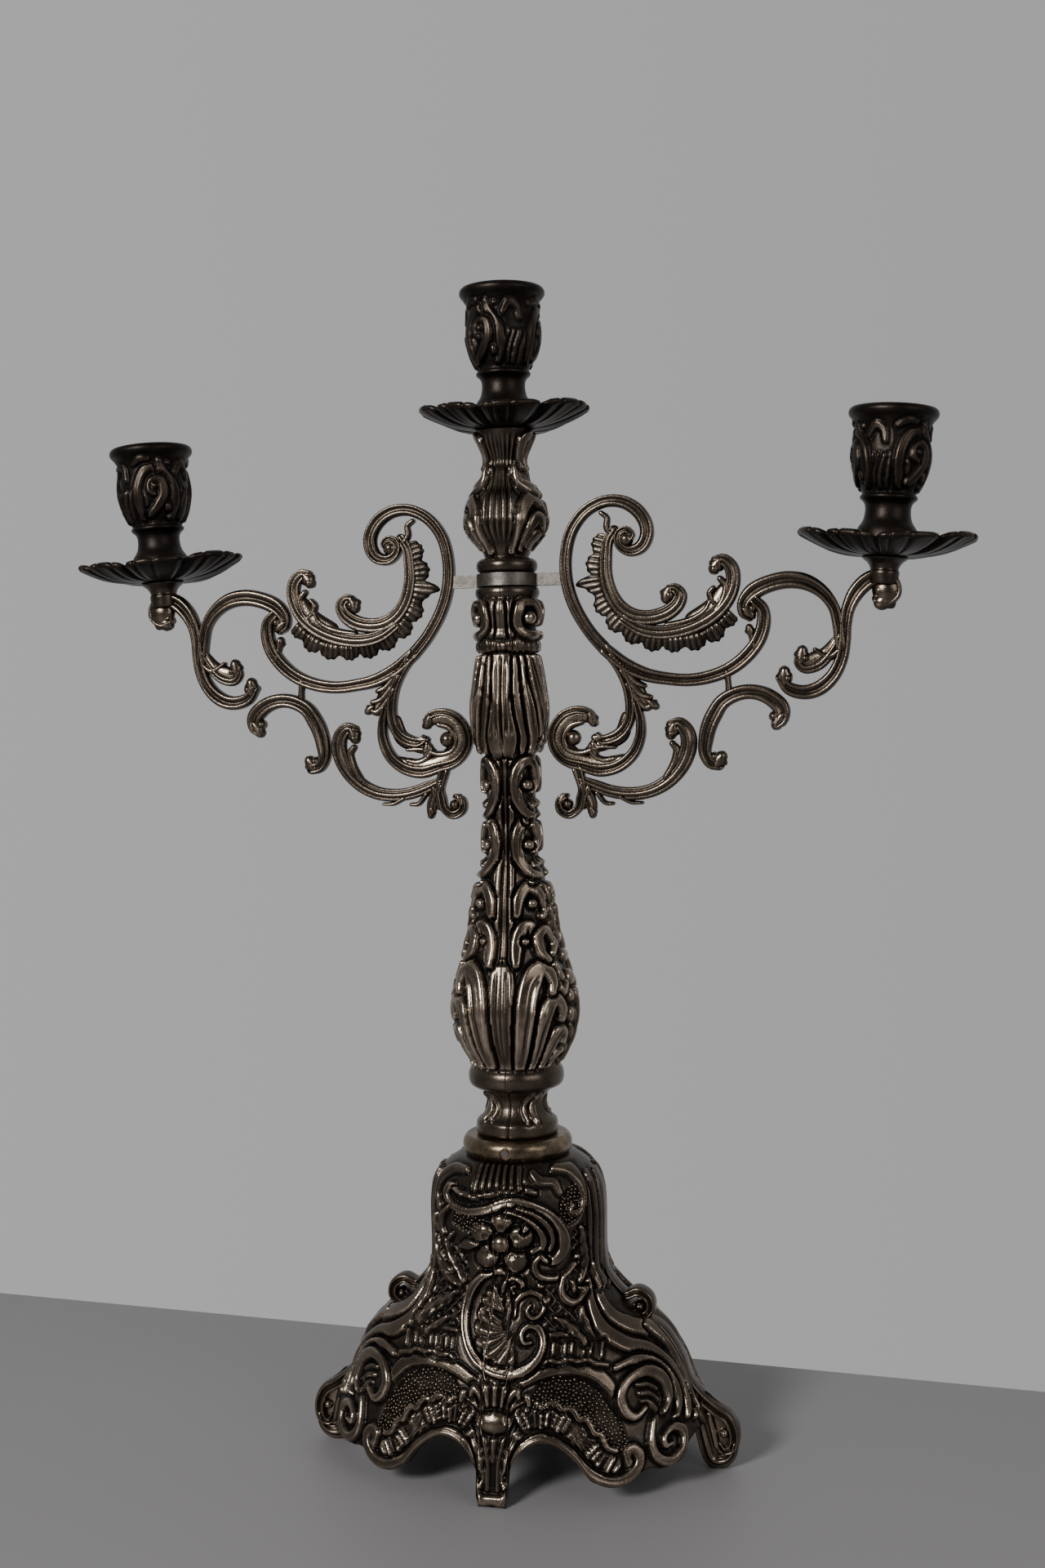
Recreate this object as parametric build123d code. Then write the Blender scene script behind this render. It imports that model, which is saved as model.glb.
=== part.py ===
from build123d import *
import os

# Three-light table candelabra, in millimetres.
# The origin is on the table under the column's axis. Z is up, the two arms lie along X,
# and the front of the base faces -Y.

# ---- driving dimensions ----
base_height = 116.0            # table to the flat top that carries the collar
skirt_half_length = 75.5       # base at the table, along the arms
skirt_half_depth = 50.0        # base at the table, front to back
waist_half_length = 32.6
waist_half_depth = 29.5
base_wall = 3.0
base_top_plate = 4.0
ridge_thickness = 6.0          # ribs that run down the two ends of the base
ridge_stand = 1.0              # how far a rib stands out of the shell
corner_volute_radius = 5.0
corner_volute_height = 59.5
foot_thickness = 8.0           # end feet, front to back
toe_reach = 7.8                # how far an end foot curls out past the skirt
centre_foot_width = 13.0
centre_foot_depth = 8.0

collar_height = 7.5
collar_radius = 20.7
spigot_radius = 13.0           # column's spigot inside the collar
spigot_length = 5.5
pin_radius = 1.3
pin_recess_radius = 2.2
pin_recess_depth = 0.8

shaft_length = 40.0            # slim part of the column
bulb_wall = 2.8
lower_ring_radius = 12.1
lower_ring_height = 4.1

journal_radius = 9.6           # the arm band turns on this neck
band_height = 4.7
band_thickness = 1.6
lug_length = 12.0              # from the band's outside to the end in the arm

knop_height = 52.8             # column neck to the middle drip pan
upper_ring_radius = 11.4

arm_reach = 139.0              # column axis to candle axis, at the drip pan
cup_lean = 4.0                 # degrees that the arms' cups lean outwards
arm_thickness = 5.5
leaf_thickness = 4.0
fringe_thickness = 2.4
boss_radius = 5.5
boss_flare_radius = 8.0

pan_radius = 31.0
pan_height = 9.0
pan_floor = 3.6                # thickness where the cup stands
pan_lip = 1.3

cup_height = 49.1              # foot to rim
cup_rim_radius = 15.9
candle_bore_radius = 11.5
candle_bore_depth = 21.0

rod_radius = 3.0
stud_radius = 2.0
thread_engagement = 12.0       # how far a rod or stud enters a cup
stud_depth = 9.5               # how far a stud enters the arm's boss

washer_radius = 11.0
washer_thickness = 1.5
spring_washer_radius = 6.2
spring_washer_thickness = 1.6
nut_across_flats = 10.0
nut_height = 5.0
rod_tail = 3.0                 # rod below the nut

# ---- clearances ----
thread_clearance = 0.1
hole_clearance = 0.4
spigot_clearance = 0.1
band_clearance = 0.3
mortise_clearance = 0.05

# ---- levels that follow from them ----
collar_top = base_height + collar_height
bulb_height = 104.5            # flange, neck, bead and bulb of the column
head_height = 57.1             # leaf sleeve and vase above the shaft
shaft_foot = collar_top + bulb_height
shaft_top = shaft_foot + shaft_length
ring_foot = shaft_top + head_height
ring_top = ring_foot + lower_ring_height
journal_length = band_height + 2 * band_clearance
knop_foot = ring_top + journal_length
band_middle = ring_top + journal_length / 2
knop_top = knop_foot + knop_height
side_pan_level = band_middle + 3.6
band_bore_radius = journal_radius + band_clearance
band_radius = band_bore_radius + band_thickness
lug_end = band_radius + lug_length


# ---- building helpers ----
def stroke(points):
    """One edge through the points: a line, or a smooth curve through three or more."""
    if len(points) == 2:
        return Line(*points)
    return Spline(*points)


def turned(stretches):
    """Solid of revolution about Z from stretches of (radius, height) points, closed at the axis."""
    edges = [stroke(points) for points in stretches]
    first = stretches[0][0]
    last = stretches[-1][-1]
    if last[0] > 0:
        edges.append(Line(last, (0, last[1])))
    if first[0] > 0:
        edges.append(Line((0, first[1]), first))
    edges.append(Line((0, last[1]), (0, first[1])))
    face = make_face([Plane.XZ * edge for edge in edges])
    return revolve(face, Axis.Z, 360)


def rod(radius, low, high):
    """Upright round bar or hole filler between two heights."""
    return Pos(0, 0, low) * Cylinder(radius, high - low, align=(Align.CENTER, Align.CENTER, Align.MIN))


def plate(outline, thickness):
    """Plate in the XZ plane from closed stretches of (x, z) points, centred on Y = 0."""
    edges = [stroke(points) for points in outline]
    face = make_face([Plane.XZ * edge for edge in edges])
    return extrude(face, thickness / 2, both=True)


def scroll(points, thickness):
    """Flat scroll along (x, z, width) points: its sides are smooth curves and its ends are round."""
    places = [Vector(x, z) for x, z, width in points]
    left = []
    right = []
    for index, place in enumerate(places):
        before = places[max(index - 1, 0)]
        after = places[min(index + 1, len(places) - 1)]
        along = (after - before).normalized()
        across = Vector(-along.Y, along.X) * (points[index][2] / 2)
        left.append(place + across)
        right.append(place - across)
    start_tip = places[0] - (places[1] - places[0]).normalized() * (points[0][2] / 2)
    end_tip = places[-1] + (places[-1] - places[-2]).normalized() * (points[-1][2] / 2)
    edges = [Spline(*left), ThreePointArc(left[-1], end_tip, right[-1]),
             Spline(*reversed(right)), ThreePointArc(right[0], start_tip, left[0])]
    face = make_face([Plane.XZ * edge for edge in edges])
    return extrude(face, thickness / 2, both=True)


# ---- base ----
# Height above the table, then how much of the skirt's flare is left along X and along Y.
flare_rows = [(0, 1.0, 1.0), (10, 0.99, 0.91), (20, 0.91, 0.81), (30, 0.78, 0.70), (40, 0.69, 0.585),
              (50, 0.54, 0.415), (60, 0.275, 0.22), (70, 0.045, 0.075), (80, 0.0, 0.0), (98, 0.0, 0.0)]
# Shoulder above the waist: height below the top plate's upper face, and share of the way in.
shoulder_rows = [(9, 0.12), (4, 0.42), (0, 1.0)]
shoulder_radius = collar_radius + 0.5
drawn_half_length = 75.5       # the edge below is drawn for a skirt of this half length


def base_rows():
    """(height, half length, half depth) of the base's oval sections, table to top."""
    rows = []
    for height, long_share, deep_share in flare_rows:
        half_length = waist_half_length + (skirt_half_length - waist_half_length) * long_share
        half_depth = waist_half_depth + (skirt_half_depth - waist_half_depth) * deep_share
        rows.append((height, half_length, half_depth))
    for drop, share in shoulder_rows:
        half_length = waist_half_length + (shoulder_radius - waist_half_length) * share
        half_depth = waist_half_depth + (shoulder_radius - waist_half_depth) * share
        rows.append((base_height - drop, half_length, half_depth))
    return rows


def oval_loft(rows):
    """Loft through oval sections, given as (height, half length, half depth)."""
    return loft([Pos(0, 0, height) * Ellipse(length, depth) for height, length, depth in rows])


def arch_cut():
    """Space under the front and back edges: an arch, a lobe and a notch on each side."""
    stretch = skirt_half_length / drawn_half_length
    half_foot = centre_foot_width / 2
    beyond = drawn_half_length + 20
    edge = [[(half_foot, -1), (half_foot, 5)],
            [(half_foot, 5), (half_foot - 0.6, 12), (9, 18.5), (15, 22), (22, 21.6), (29, 16.5), (35, 9.5),
             (41, 6.6), (47, 7), (51.5, 10.5), (54.5, 12)],
            [(54.5, 12), (58, 10.6), (62, 11), (66, 16)],
            [(66, 16), (69, 19)],
            [(69, 19), (beyond, 19)],
            [(beyond, 19), (beyond, -1)],
            [(beyond, -1), (half_foot, -1)]]
    scaled = [[(x if x <= half_foot else half_foot + (x - half_foot) * stretch, z) for x, z in points]
              for points in edge]
    right = plate(scaled, 4 * skirt_half_depth)
    return [right, mirror(right, Plane.YZ)]


def end_ridge(rows):
    """Rib, corner volute and scroll foot at the +X end of the base."""
    outer = [(length + ridge_stand, height) for height, length, depth in rows[1:]]
    inner = [(length - base_wall / 2, height) for height, length, depth in rows[1:]]
    rib = plate([outer, [outer[-1], inner[-1]], list(reversed(inner)), [inner[0], outer[0]]], ridge_thickness)
    volute_x = waist_half_length + (skirt_half_length - waist_half_length) * 0.3
    volute = Pos(volute_x, 0, corner_volute_height) * Rot(90, 0, 0) * Cylinder(corner_volute_radius,
                                                                               ridge_thickness + 3)
    toe = skirt_half_length + toe_reach
    foot = plate([[(toe - 15.5, 27), (toe - 12.8, 23.8), (toe - 9.8, 21.9), (toe - 5.2, 21), (toe - 2.3, 19.3),
                   (toe - 0.5, 15.5), (toe, 10.5), (toe - 0.8, 6), (toe - 3.3, 2), (toe - 6.3, 0)],
                  [(toe - 6.3, 0), (toe - 14.3, 0)],
                  [(toe - 14.3, 0), (toe - 16.8, 6), (toe - 18, 14), (toe - 15.5, 27)]], foot_thickness)
    return rib + volute + foot


def centre_foot():
    """Foot under the middle of the front edge, thick enough to stand on."""
    front = skirt_half_depth + 0.8
    outline = [[(-front, 0), (-front + 1.4, 10), (-front + 3.4, 20), (-front + 5, 26)],
               [(-front + 5, 26), (-front + centre_foot_depth + 3, 20), (-front + centre_foot_depth, 0)],
               [(-front + centre_foot_depth, 0), (-front, 0)]]
    face = make_face([Plane.YZ * stroke(points) for points in outline])
    return extrude(face, centre_foot_width / 2 - 0.8, both=True)


def base_casting():
    """Hollow cast base on four feet, open underneath."""
    rows = base_rows()
    roof = base_height - base_top_plate
    inner_rows = [(height, length - base_wall, depth - base_wall) for height, length, depth in rows
                  if 0 < height < roof - 10]
    chamber = washer_radius + 4
    inner_rows = [(-2.0, skirt_half_length - base_wall, skirt_half_depth - base_wall)] + inner_rows
    inner_rows = inner_rows + [(roof, chamber, chamber)]
    body = oval_loft(rows) - oval_loft(inner_rows)
    for cut in arch_cut():
        body -= cut
    ridge = end_ridge(rows)
    foot = centre_foot()
    for piece in (ridge, mirror(ridge, Plane.YZ), foot, mirror(foot, Plane.XZ)):
        body += piece
    return body - rod(rod_radius + hole_clearance, roof - 1, base_height + 1)


# ---- collar and its pin ----
def base_collar():
    """Plain rounded collar between base and column, bored for the column's spigot and the pin."""
    top = collar_top
    foot = base_height
    ring = turned([[(collar_radius - 1.6, foot), (collar_radius - 0.4, foot + 1.6), (collar_radius, foot + 3.8),
                    (collar_radius - 0.5, foot + 6), (collar_radius - 2.2, top)]])
    ring -= rod(spigot_radius + spigot_clearance, foot - 1, top + 1)
    height = foot + collar_height / 2
    hole = Pos(0, -collar_radius / 2, height) * Rot(90, 0, 0) * Cylinder(pin_radius + thread_clearance,
                                                                       collar_radius + 2)
    recess = Pos(0, -collar_radius, height) * Rot(90, 0, 0) * Cylinder(pin_recess_radius,
                                                                      2 * pin_recess_depth)
    return ring - hole - recess


pin_depth = 3.0                # how far the pin enters the spigot


def collar_pin():
    """Cross pin that locks the column's spigot in the collar."""
    outside = collar_radius - 0.2
    inside = spigot_radius - pin_depth
    length = outside - inside
    return Pos(0, -(outside + inside) / 2, base_height + collar_height / 2) * Rot(90, 0, 0) * Cylinder(
        pin_radius, length)


# ---- column ----
def column():
    """Whole cast column, solid but for the rod's bore and the hollow bulb."""
    c = collar_top
    s = shaft_foot
    t = shaft_top
    body = turned([
        [(spigot_radius, c - spigot_length), (spigot_radius, c)],
        [(spigot_radius, c), (15.4, c)],
        [(15.4, c), (15.4, c + 5)],
        [(15.4, c + 5), (12.4, c + 8), (10.9, c + 12.5), (13.2, c + 17.5)],
        [(13.2, c + 17.5), (16.6, c + 18.5), (18.1, c + 22.2), (16.5, c + 26.2)],
        [(16.5, c + 26.2), (16.7, c + 29.5), (21.0, c + 36.5), (23.2, c + 44), (23.4, c + 51), (20.2, c + 64),
         (16.4, c + 76.5), (15.0, c + 88.5), (12.5, c + 98.1), (10.8, s)],
        [(10.8, s), (10.5, s + 9), (9.5, s + 15), (10.5, s + 28), (10.9, t)],
        [(10.9, t), (12.4, t + 7.5), (14.7, t + 18), (14.3, t + 21), (11.5, t + 33.6), (11.2, t + 36.6)],
        [(11.2, t + 36.6), (11.8, t + 42.7), (10.9, t + 45.8)],
        [(10.9, t + 45.8), (12.6, t + 52), (11.2, t + 56.2)],
        [(11.2, t + 56.2), (11.2, ring_foot)],
        [(11.2, ring_foot), (lower_ring_radius - 0.7, ring_foot)],
        [(lower_ring_radius - 0.7, ring_foot), (lower_ring_radius, ring_foot + lower_ring_height / 2),
         (lower_ring_radius - 0.7, ring_top)],
        [(lower_ring_radius - 0.7, ring_top), (journal_radius, ring_top)],
        [(journal_radius, ring_top), (journal_radius, knop_foot)]])
    cavity = turned([[(rod_radius, c + 27), (16.7 - bulb_wall, c + 32), (23.2 - bulb_wall, c + 44),
                      (23.4 - bulb_wall, c + 51), (16.4 - bulb_wall, c + 75), (15.0 - bulb_wall, c + 87),
                      (rod_radius, s)]])
    bore = rod(rod_radius + hole_clearance, c - spigot_length - 1, knop_foot + 1)
    pin_hole = Pos(0, -spigot_radius, base_height + collar_height / 2) * Rot(90, 0, 0) * Cylinder(
        pin_radius + thread_clearance, 2 * (pin_depth + thread_clearance))
    return body - cavity - bore - pin_hole


def column_halves():
    """The column's two castings, which meet on the plane X = 0."""
    whole = column()
    tall = 2 * knop_top
    keep = Box(200, 200, tall, align=(Align.MIN, Align.CENTER, Align.MIN))
    right = whole & keep
    left = whole & mirror(keep, Plane.YZ)
    return left, right


def upper_knop():
    """Knop above the arm band, with the ring that closes the journal from above."""
    k = knop_foot
    u = upper_ring_radius
    body = turned([
        [(u - 1.2, k), (u, k + 2.6), (u - 1.2, k + 5.2)],
        [(u - 1.2, k + 5.2), (8.2, k + 5.2)],
        [(8.2, k + 5.2), (9.6, k + 9.5), (12.2, k + 12.5), (14.4, k + 15.5), (15.3, k + 18.9), (15.0, k + 22),
         (13.9, k + 28), (11.1, k + 31.1), (8.8, k + 37.2), (7.3, k + 40.2), (7.5, k + 43.2), (10.1, k + 49.3),
         (11.3, k + knop_height)]])
    return body - rod(rod_radius + hole_clearance, k - 1, knop_top + 1)


# ---- arm band ----
def band_half():
    """Front half of the band: half a ring with a flat lug at each end."""
    ring = Cylinder(band_radius, band_height) - Cylinder(band_bore_radius, band_height + 2)
    lugs = Box(2 * lug_end, band_thickness, band_height, align=(Align.CENTER, Align.MAX, Align.CENTER))
    lugs -= Cylinder(band_bore_radius, band_height + 2)
    front = Box(2 * lug_end, 2 * band_radius, band_height, align=(Align.CENTER, Align.MAX, Align.CENTER))
    return Pos(0, 0, band_middle) * ((ring + lugs) & front)


# ---- arms ----
# The scrolls are drawn as (x, z, width) for an arm of this reach, with the band's middle at this height.
drawn_reach = 139.0
drawn_band = 331.85
drawn_root = 20.5

main_scrolls = {
    "s_bar": [(46.2, 345.3, 2.5), (47.6, 347.0, 2.6), (45.6, 348.9, 3.0), (42.8, 347.3, 3.2), (42.9, 343.6, 3.4),
              (46.4, 341.2, 4.2), (50.8, 342.4, 5.0), (53.1, 346.5, 5.2), (52.6, 351.5, 5.2), (49.2, 356.4, 5.2),
              (43.6, 359.4, 4.8), (36.8, 359.4, 4.5), (29.8, 355.6, 4.5), (24.8, 348.6, 4.5), (22.7, 339.5, 4.5),
              (23.1, 330.0, 4.6), (26.0, 320.8, 4.7), (31.2, 312.0, 4.7), (37.2, 305.0, 5.0)],
    "branch": [(37.2, 305.0, 5.0), (44.0, 299.5, 5.5), (52.0, 295.6, 5.2), (60.0, 293.9, 4.8), (68.0, 293.2, 4.8),
               (76.0, 294.3, 5.0), (83.5, 297.2, 5.2), (89.5, 301.8, 5.4), (93.8, 307.5, 5.4), (95.6, 313.5, 5.2),
               (95.2, 318.5, 4.6), (92.5, 321.5, 4.0)],
    "lower_s": [(37.2, 305.0, 4.0), (41.5, 299.0, 3.6), (44.6, 292.5, 3.6), (46.0, 286.0, 3.8), (45.9, 280.0, 4.0),
                (44.0, 275.8, 4.4), (40.6, 272.8, 4.6), (36.0, 271.6, 4.2)],
    "lower_volute": [(48.5, 285.0, 2.5), (49.8, 279.0, 3.5), (49.6, 272.5, 4.0), (46.8, 266.3, 4.5),
                     (41.2, 261.8, 4.8), (34.5, 260.4, 5.0), (28.0, 262.0, 6.0), (22.5, 265.8, 7.0),
                     (19.6, 271.0, 7.4), (20.8, 277.0, 7.0), (25.0, 280.6, 5.5), (29.8, 280.6, 4.5)],
    "bottom_curl": [(26.0, 260.5, 4.5), (27.5, 254.0, 3.4), (26.8, 250.0, 3.4), (26.0, 246.5, 3.4),
                    (22.5, 244.0, 3.6), (19.0, 245.8, 3.4), (18.8, 249.4, 2.8)],
    "lower_leaf": [(27.0, 257.0, 3.0), (32.5, 254.6, 4.5), (39.0, 252.4, 4.8), (46.0, 251.6, 5.0), (53.0, 252.6, 5.2),
                   (59.5, 256.0, 5.6), (64.6, 261.5, 6.0), (67.4, 268.0, 6.2), (67.2, 273.6, 6.0),
                   (64.4, 277.2, 5.0), (61.0, 276.9, 3.6)],
    "arch": [(78.6, 262.0, 4.4), (75.6, 262.8, 4.6), (73.6, 266.5, 4.8), (74.0, 271.5, 5.6), (75.0, 275.8, 6.0),
             (77.0, 280.2, 6.2), (80.3, 285.0, 5.8), (85.8, 287.9, 5.6), (91.5, 288.4, 5.6), (97.0, 286.6, 6.0),
             (101.4, 282.6, 6.2), (101.8, 278.5, 5.0)],
    "arch_tab": [(82.0, 297.0, 4.4), (82.2, 292.0, 4.2), (82.6, 287.0, 4.4)],
    "outer_s": [(101.0, 293.4, 3.0), (104.5, 289.4, 4.8), (110.0, 287.9, 5.4), (115.5, 289.4, 5.6),
                (120.2, 293.6, 5.2), (123.2, 299.5, 4.8), (124.4, 306.0, 4.6), (124.8, 312.0, 4.6),
                (126.0, 318.0, 5.2), (128.8, 323.4, 6.6), (133.0, 327.0, 6.5)],
    "ring_arch": [(123.0, 304.0, 4.0), (122.2, 312.0, 4.2), (120.6, 318.5, 4.2), (116.6, 324.0, 5.0),
                  (110.8, 327.6, 6.0), (104.2, 328.6, 6.4), (97.6, 327.4, 6.4), (92.0, 324.8, 6.4),
                  (88.6, 321.0, 5.0), (88.4, 317.2, 4.0)],
}
leaf_scrolls = {
    "inner_leaf": [(41.0, 349.0, 3.8), (38.6, 345.0, 4.2), (37.8, 339.0, 4.6), (37.8, 332.5, 4.8),
                   (39.4, 326.0, 5.2), (42.8, 320.6, 5.6), (47.6, 317.3, 5.8), (53.4, 316.4, 5.8),
                   (59.4, 317.6, 6.0), (63.8, 320.6, 5.6), (65.4, 324.4, 4.6)],
    "long_leaf": [(44.0, 316.0, 4.0), (50.0, 312.3, 5.0), (57.0, 310.8, 5.6), (64.0, 311.3, 5.8), (71.0, 313.4, 6.0),
                  (77.4, 317.0, 6.0), (82.2, 322.0, 5.6), (84.6, 328.0, 5.4), (84.2, 333.4, 5.4),
                  (81.4, 336.6, 4.6), (78.4, 336.6, 3.6)],
    "cup_leaf": [(108.6, 301.6, 2.6), (107.9, 299.0, 3.6), (110.5, 296.8, 4.6), (115.5, 298.2, 4.6),
                 (119.6, 302.6, 4.2), (123.0, 308.5, 4.0)],
    "pendant_leaf": [(27.6, 255.5, 3.6), (30.6, 248.5, 4.6), (31.3, 243.8, 2.8)],
    "branch_leaf": [(41.0, 301.0, 4.0), (45.5, 294.5, 5.0), (49.0, 289.0, 5.5), (52.0, 284.0, 4.0)],
}
fringe_scrolls = {
    "shell_fringe": [(36.5, 346.0, 4.0), (34.5, 340.0, 6.0), (33.2, 333.5, 8.0), (36.6, 326.0, 6.5),
                     (40.0, 318.5, 7.0), (46.0, 313.0, 7.0), (54.0, 309.0, 7.0), (63.0, 307.8, 6.5),
                     (72.0, 308.5, 7.5), (79.0, 312.5, 7.0), (84.0, 317.5, 5.0)],
}
top_volute = (137.5, 324.5, 6.6)   # scroll end under the drip pan: x, z, radius


def arm_place(x, z):
    """Where a drawn point lies on an arm of the real reach."""
    stretch = (arm_reach - drawn_root) / (drawn_reach - drawn_root)
    return drawn_root + (x - drawn_root) * stretch, z - drawn_band + band_middle


def side_place(side):
    """Frame on top of an arm's boss, leaning outwards: side is 1 for +X and -1 for -X."""
    return Pos(side * arm_reach, 0, side_pan_level) * Rot(0, side * cup_lean, 0)


def arm():
    """Pierced scroll arm on the +X side, with the boss that carries the drip pan."""
    body = None
    for scrolls, thickness in ((main_scrolls, arm_thickness), (leaf_scrolls, leaf_thickness),
                               (fringe_scrolls, fringe_thickness)):
        for points in scrolls.values():
            piece = scroll([arm_place(x, z) + (width,) for x, z, width in points], thickness)
            body = piece if body is None else body + piece
    volute_x, volute_z = arm_place(top_volute[0], top_volute[1])
    body += Pos(volute_x, 0, volute_z) * Rot(90, 0, 0) * Cylinder(top_volute[2], arm_thickness + 1.5)
    boss = turned([[(boss_radius, volute_z - side_pan_level), (boss_radius, -5)],
                   [(boss_radius, -5), (boss_radius + 0.7, -2.2), (boss_flare_radius, 0)]])
    body += side_place(1) * boss
    body -= side_place(1) * rod(stud_radius + thread_clearance, -stud_depth - 0.5, 1)
    mortise = Box(2 * (lug_end + mortise_clearance), 2 * (band_thickness + mortise_clearance),
                  band_height + 2 * mortise_clearance)
    return body - Pos(0, 0, band_middle) * mortise


# ---- drip pans and cups ----
def drip_pan(hole_radius):
    """Shallow dish, standing on Z = 0, with a hole for its stud."""
    r = pan_radius
    h = pan_height
    dish = turned([[(boss_flare_radius + 0.5, 0), (0.55 * r, 1.5), (0.78 * r, 3.6), (0.94 * r, 6.2), (r, h - 0.2)],
                   [(r, h - 0.2), (r - pan_lip, h)],
                   [(r - pan_lip, h), (0.91 * r, h - 1.2), (0.76 * r, 5.6), (0.56 * r, 4.0), (0.42 * r, pan_floor)]])
    return dish - rod(hole_radius, -1, pan_floor + 1)


def candle_cup(hole_radius):
    """Candle cup, standing on Z = 0, with a blind socket above and a threaded hole below."""
    h = cup_height
    r = cup_rim_radius
    body = turned([
        [(11.8, 0), (11.6, 2.4), (10.7, 6.2), (8.6, 9.4), (8.0, 12.4), (8.3, 14.8), (9.2, 16.2)],
        [(9.2, 16.2), (10.2, 17.4), (9.6, 18.6)],
        [(9.6, 18.6), (9.9, 19.6), (11.7, 23.4), (13.2, 28.4), (13.6, 32.4), (13.3, 38.4), (13.5, 42.4),
         (15.2, 45.6)],
        [(15.2, 45.6), (r, 47.2), (r - 0.2, h - 0.9), (r - 1.2, h)]])
    socket = rod(candle_bore_radius, h - candle_bore_depth, h + 1)
    return body - socket - rod(hole_radius, -1, thread_engagement)


# ---- fasteners under the base ----
def washer(outer_radius, thickness, top):
    """Flat washer on the rod, its upper face at the given height."""
    return rod(outer_radius, top - thickness, top) - rod(rod_radius + hole_clearance, top - thickness - 1, top + 1)


def foot_nut(top):
    """Hexagon nut on the rod, its upper face at the given height."""
    hexagon = RegularPolygon(nut_across_flats / 2, 6, major_radius=False)
    block = Pos(0, 0, top - nut_height) * extrude(hexagon, nut_height)
    return block - rod(rod_radius + thread_clearance, top - nut_height - 1, top + 1)


def build():
    """All nodes by name."""
    roof = base_height - base_top_plate
    spring_top = roof - washer_thickness
    nut_top = spring_top - spring_washer_thickness
    nut_foot = nut_top - nut_height
    centre_cup_level = knop_top + pan_floor
    column_left, column_right = column_halves()
    front_band = band_half()
    nodes = {
        "base_casting": base_casting(),
        "base_collar": base_collar(),
        "collar_pin": collar_pin(),
        "column_half_left": column_left,
        "column_half_right": column_right,
        "upper_knop": upper_knop(),
        "tie_rod": rod(rod_radius, nut_foot - rod_tail, centre_cup_level + thread_engagement - 0.5),
        "foot_washer": washer(washer_radius, washer_thickness, roof),
        "spring_washer": washer(spring_washer_radius, spring_washer_thickness, spring_top),
        "foot_nut": foot_nut(nut_top),
        "centre_drip_pan": Pos(0, 0, knop_top) * drip_pan(rod_radius + hole_clearance),
        "centre_cup": Pos(0, 0, centre_cup_level) * candle_cup(rod_radius + thread_clearance),
        "band_half_front": front_band,
        "band_half_back": mirror(front_band, Plane.XZ),
    }
    arm_right = arm()
    stud = rod(stud_radius, -stud_depth, pan_floor + thread_engagement - 0.5)
    for name, side in (("right", 1), ("left", -1)):
        place = side_place(side)
        nodes[f"arm_{name}"] = arm_right if side == 1 else arm_right.rotate(Axis.Z, 180)
        nodes[f"stud_{name}"] = place * stud
        nodes[f"drip_pan_{name}"] = place * drip_pan(stud_radius + hole_clearance)
        nodes[f"cup_{name}"] = place * Pos(0, 0, pan_floor) * candle_cup(stud_radius + thread_clearance)
    return nodes


os.makedirs("parts", exist_ok=True)
for name, piece in build().items():
    export_step(piece, f"parts/{name}.step")
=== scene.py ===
# Three-light scroll candelabra in aged cast metal. Everything is drawn in millimetres and
# turned into metres when its mesh is made.
import math
import bpy
import numpy as np
from mathutils import Matrix, Vector


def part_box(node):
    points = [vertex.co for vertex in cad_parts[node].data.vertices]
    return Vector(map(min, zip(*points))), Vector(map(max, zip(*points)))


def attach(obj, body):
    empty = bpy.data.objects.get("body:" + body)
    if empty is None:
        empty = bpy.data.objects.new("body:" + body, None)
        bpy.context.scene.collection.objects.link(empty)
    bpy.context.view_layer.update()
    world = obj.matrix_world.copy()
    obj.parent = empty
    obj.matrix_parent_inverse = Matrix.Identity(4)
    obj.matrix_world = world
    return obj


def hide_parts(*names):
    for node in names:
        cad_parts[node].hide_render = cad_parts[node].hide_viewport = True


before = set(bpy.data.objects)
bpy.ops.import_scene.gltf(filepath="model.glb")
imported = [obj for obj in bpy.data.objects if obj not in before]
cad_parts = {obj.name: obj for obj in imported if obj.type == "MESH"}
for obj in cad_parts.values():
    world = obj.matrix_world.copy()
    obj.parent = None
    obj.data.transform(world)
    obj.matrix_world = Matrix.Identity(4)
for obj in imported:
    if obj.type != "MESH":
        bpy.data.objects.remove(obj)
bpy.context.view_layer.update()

MM = 0.001


def millimetres(node):
    """A CAD node's lowest and highest corners in millimetres."""
    low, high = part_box(node)
    return np.array(low) / MM, np.array(high) / MM


def level_range(node):
    """A CAD node's lowest and highest level in millimetres."""
    low, high = millimetres(node)
    return low[2], high[2]


base_top = level_range("base_casting")[1]
collar_top = level_range("base_collar")[1]
knop_foot, knop_top = level_range("upper_knop")
band_foot = level_range("band_half_front")[0]
stud_middle = sum(millimetres("stud_right")) / 2
cup_lean = math.radians(4)
pan_floor = level_range("centre_cup")[0] - knop_top   # thickness of a pan where its cup stands
stud_offset = 2.8                                      # from a pan's foot to the middle of its stud
arm_reach = stud_middle[0] - stud_offset * math.sin(cup_lean)
side_pan_level = stud_middle[2] - stud_offset * math.cos(cup_lean)


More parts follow.
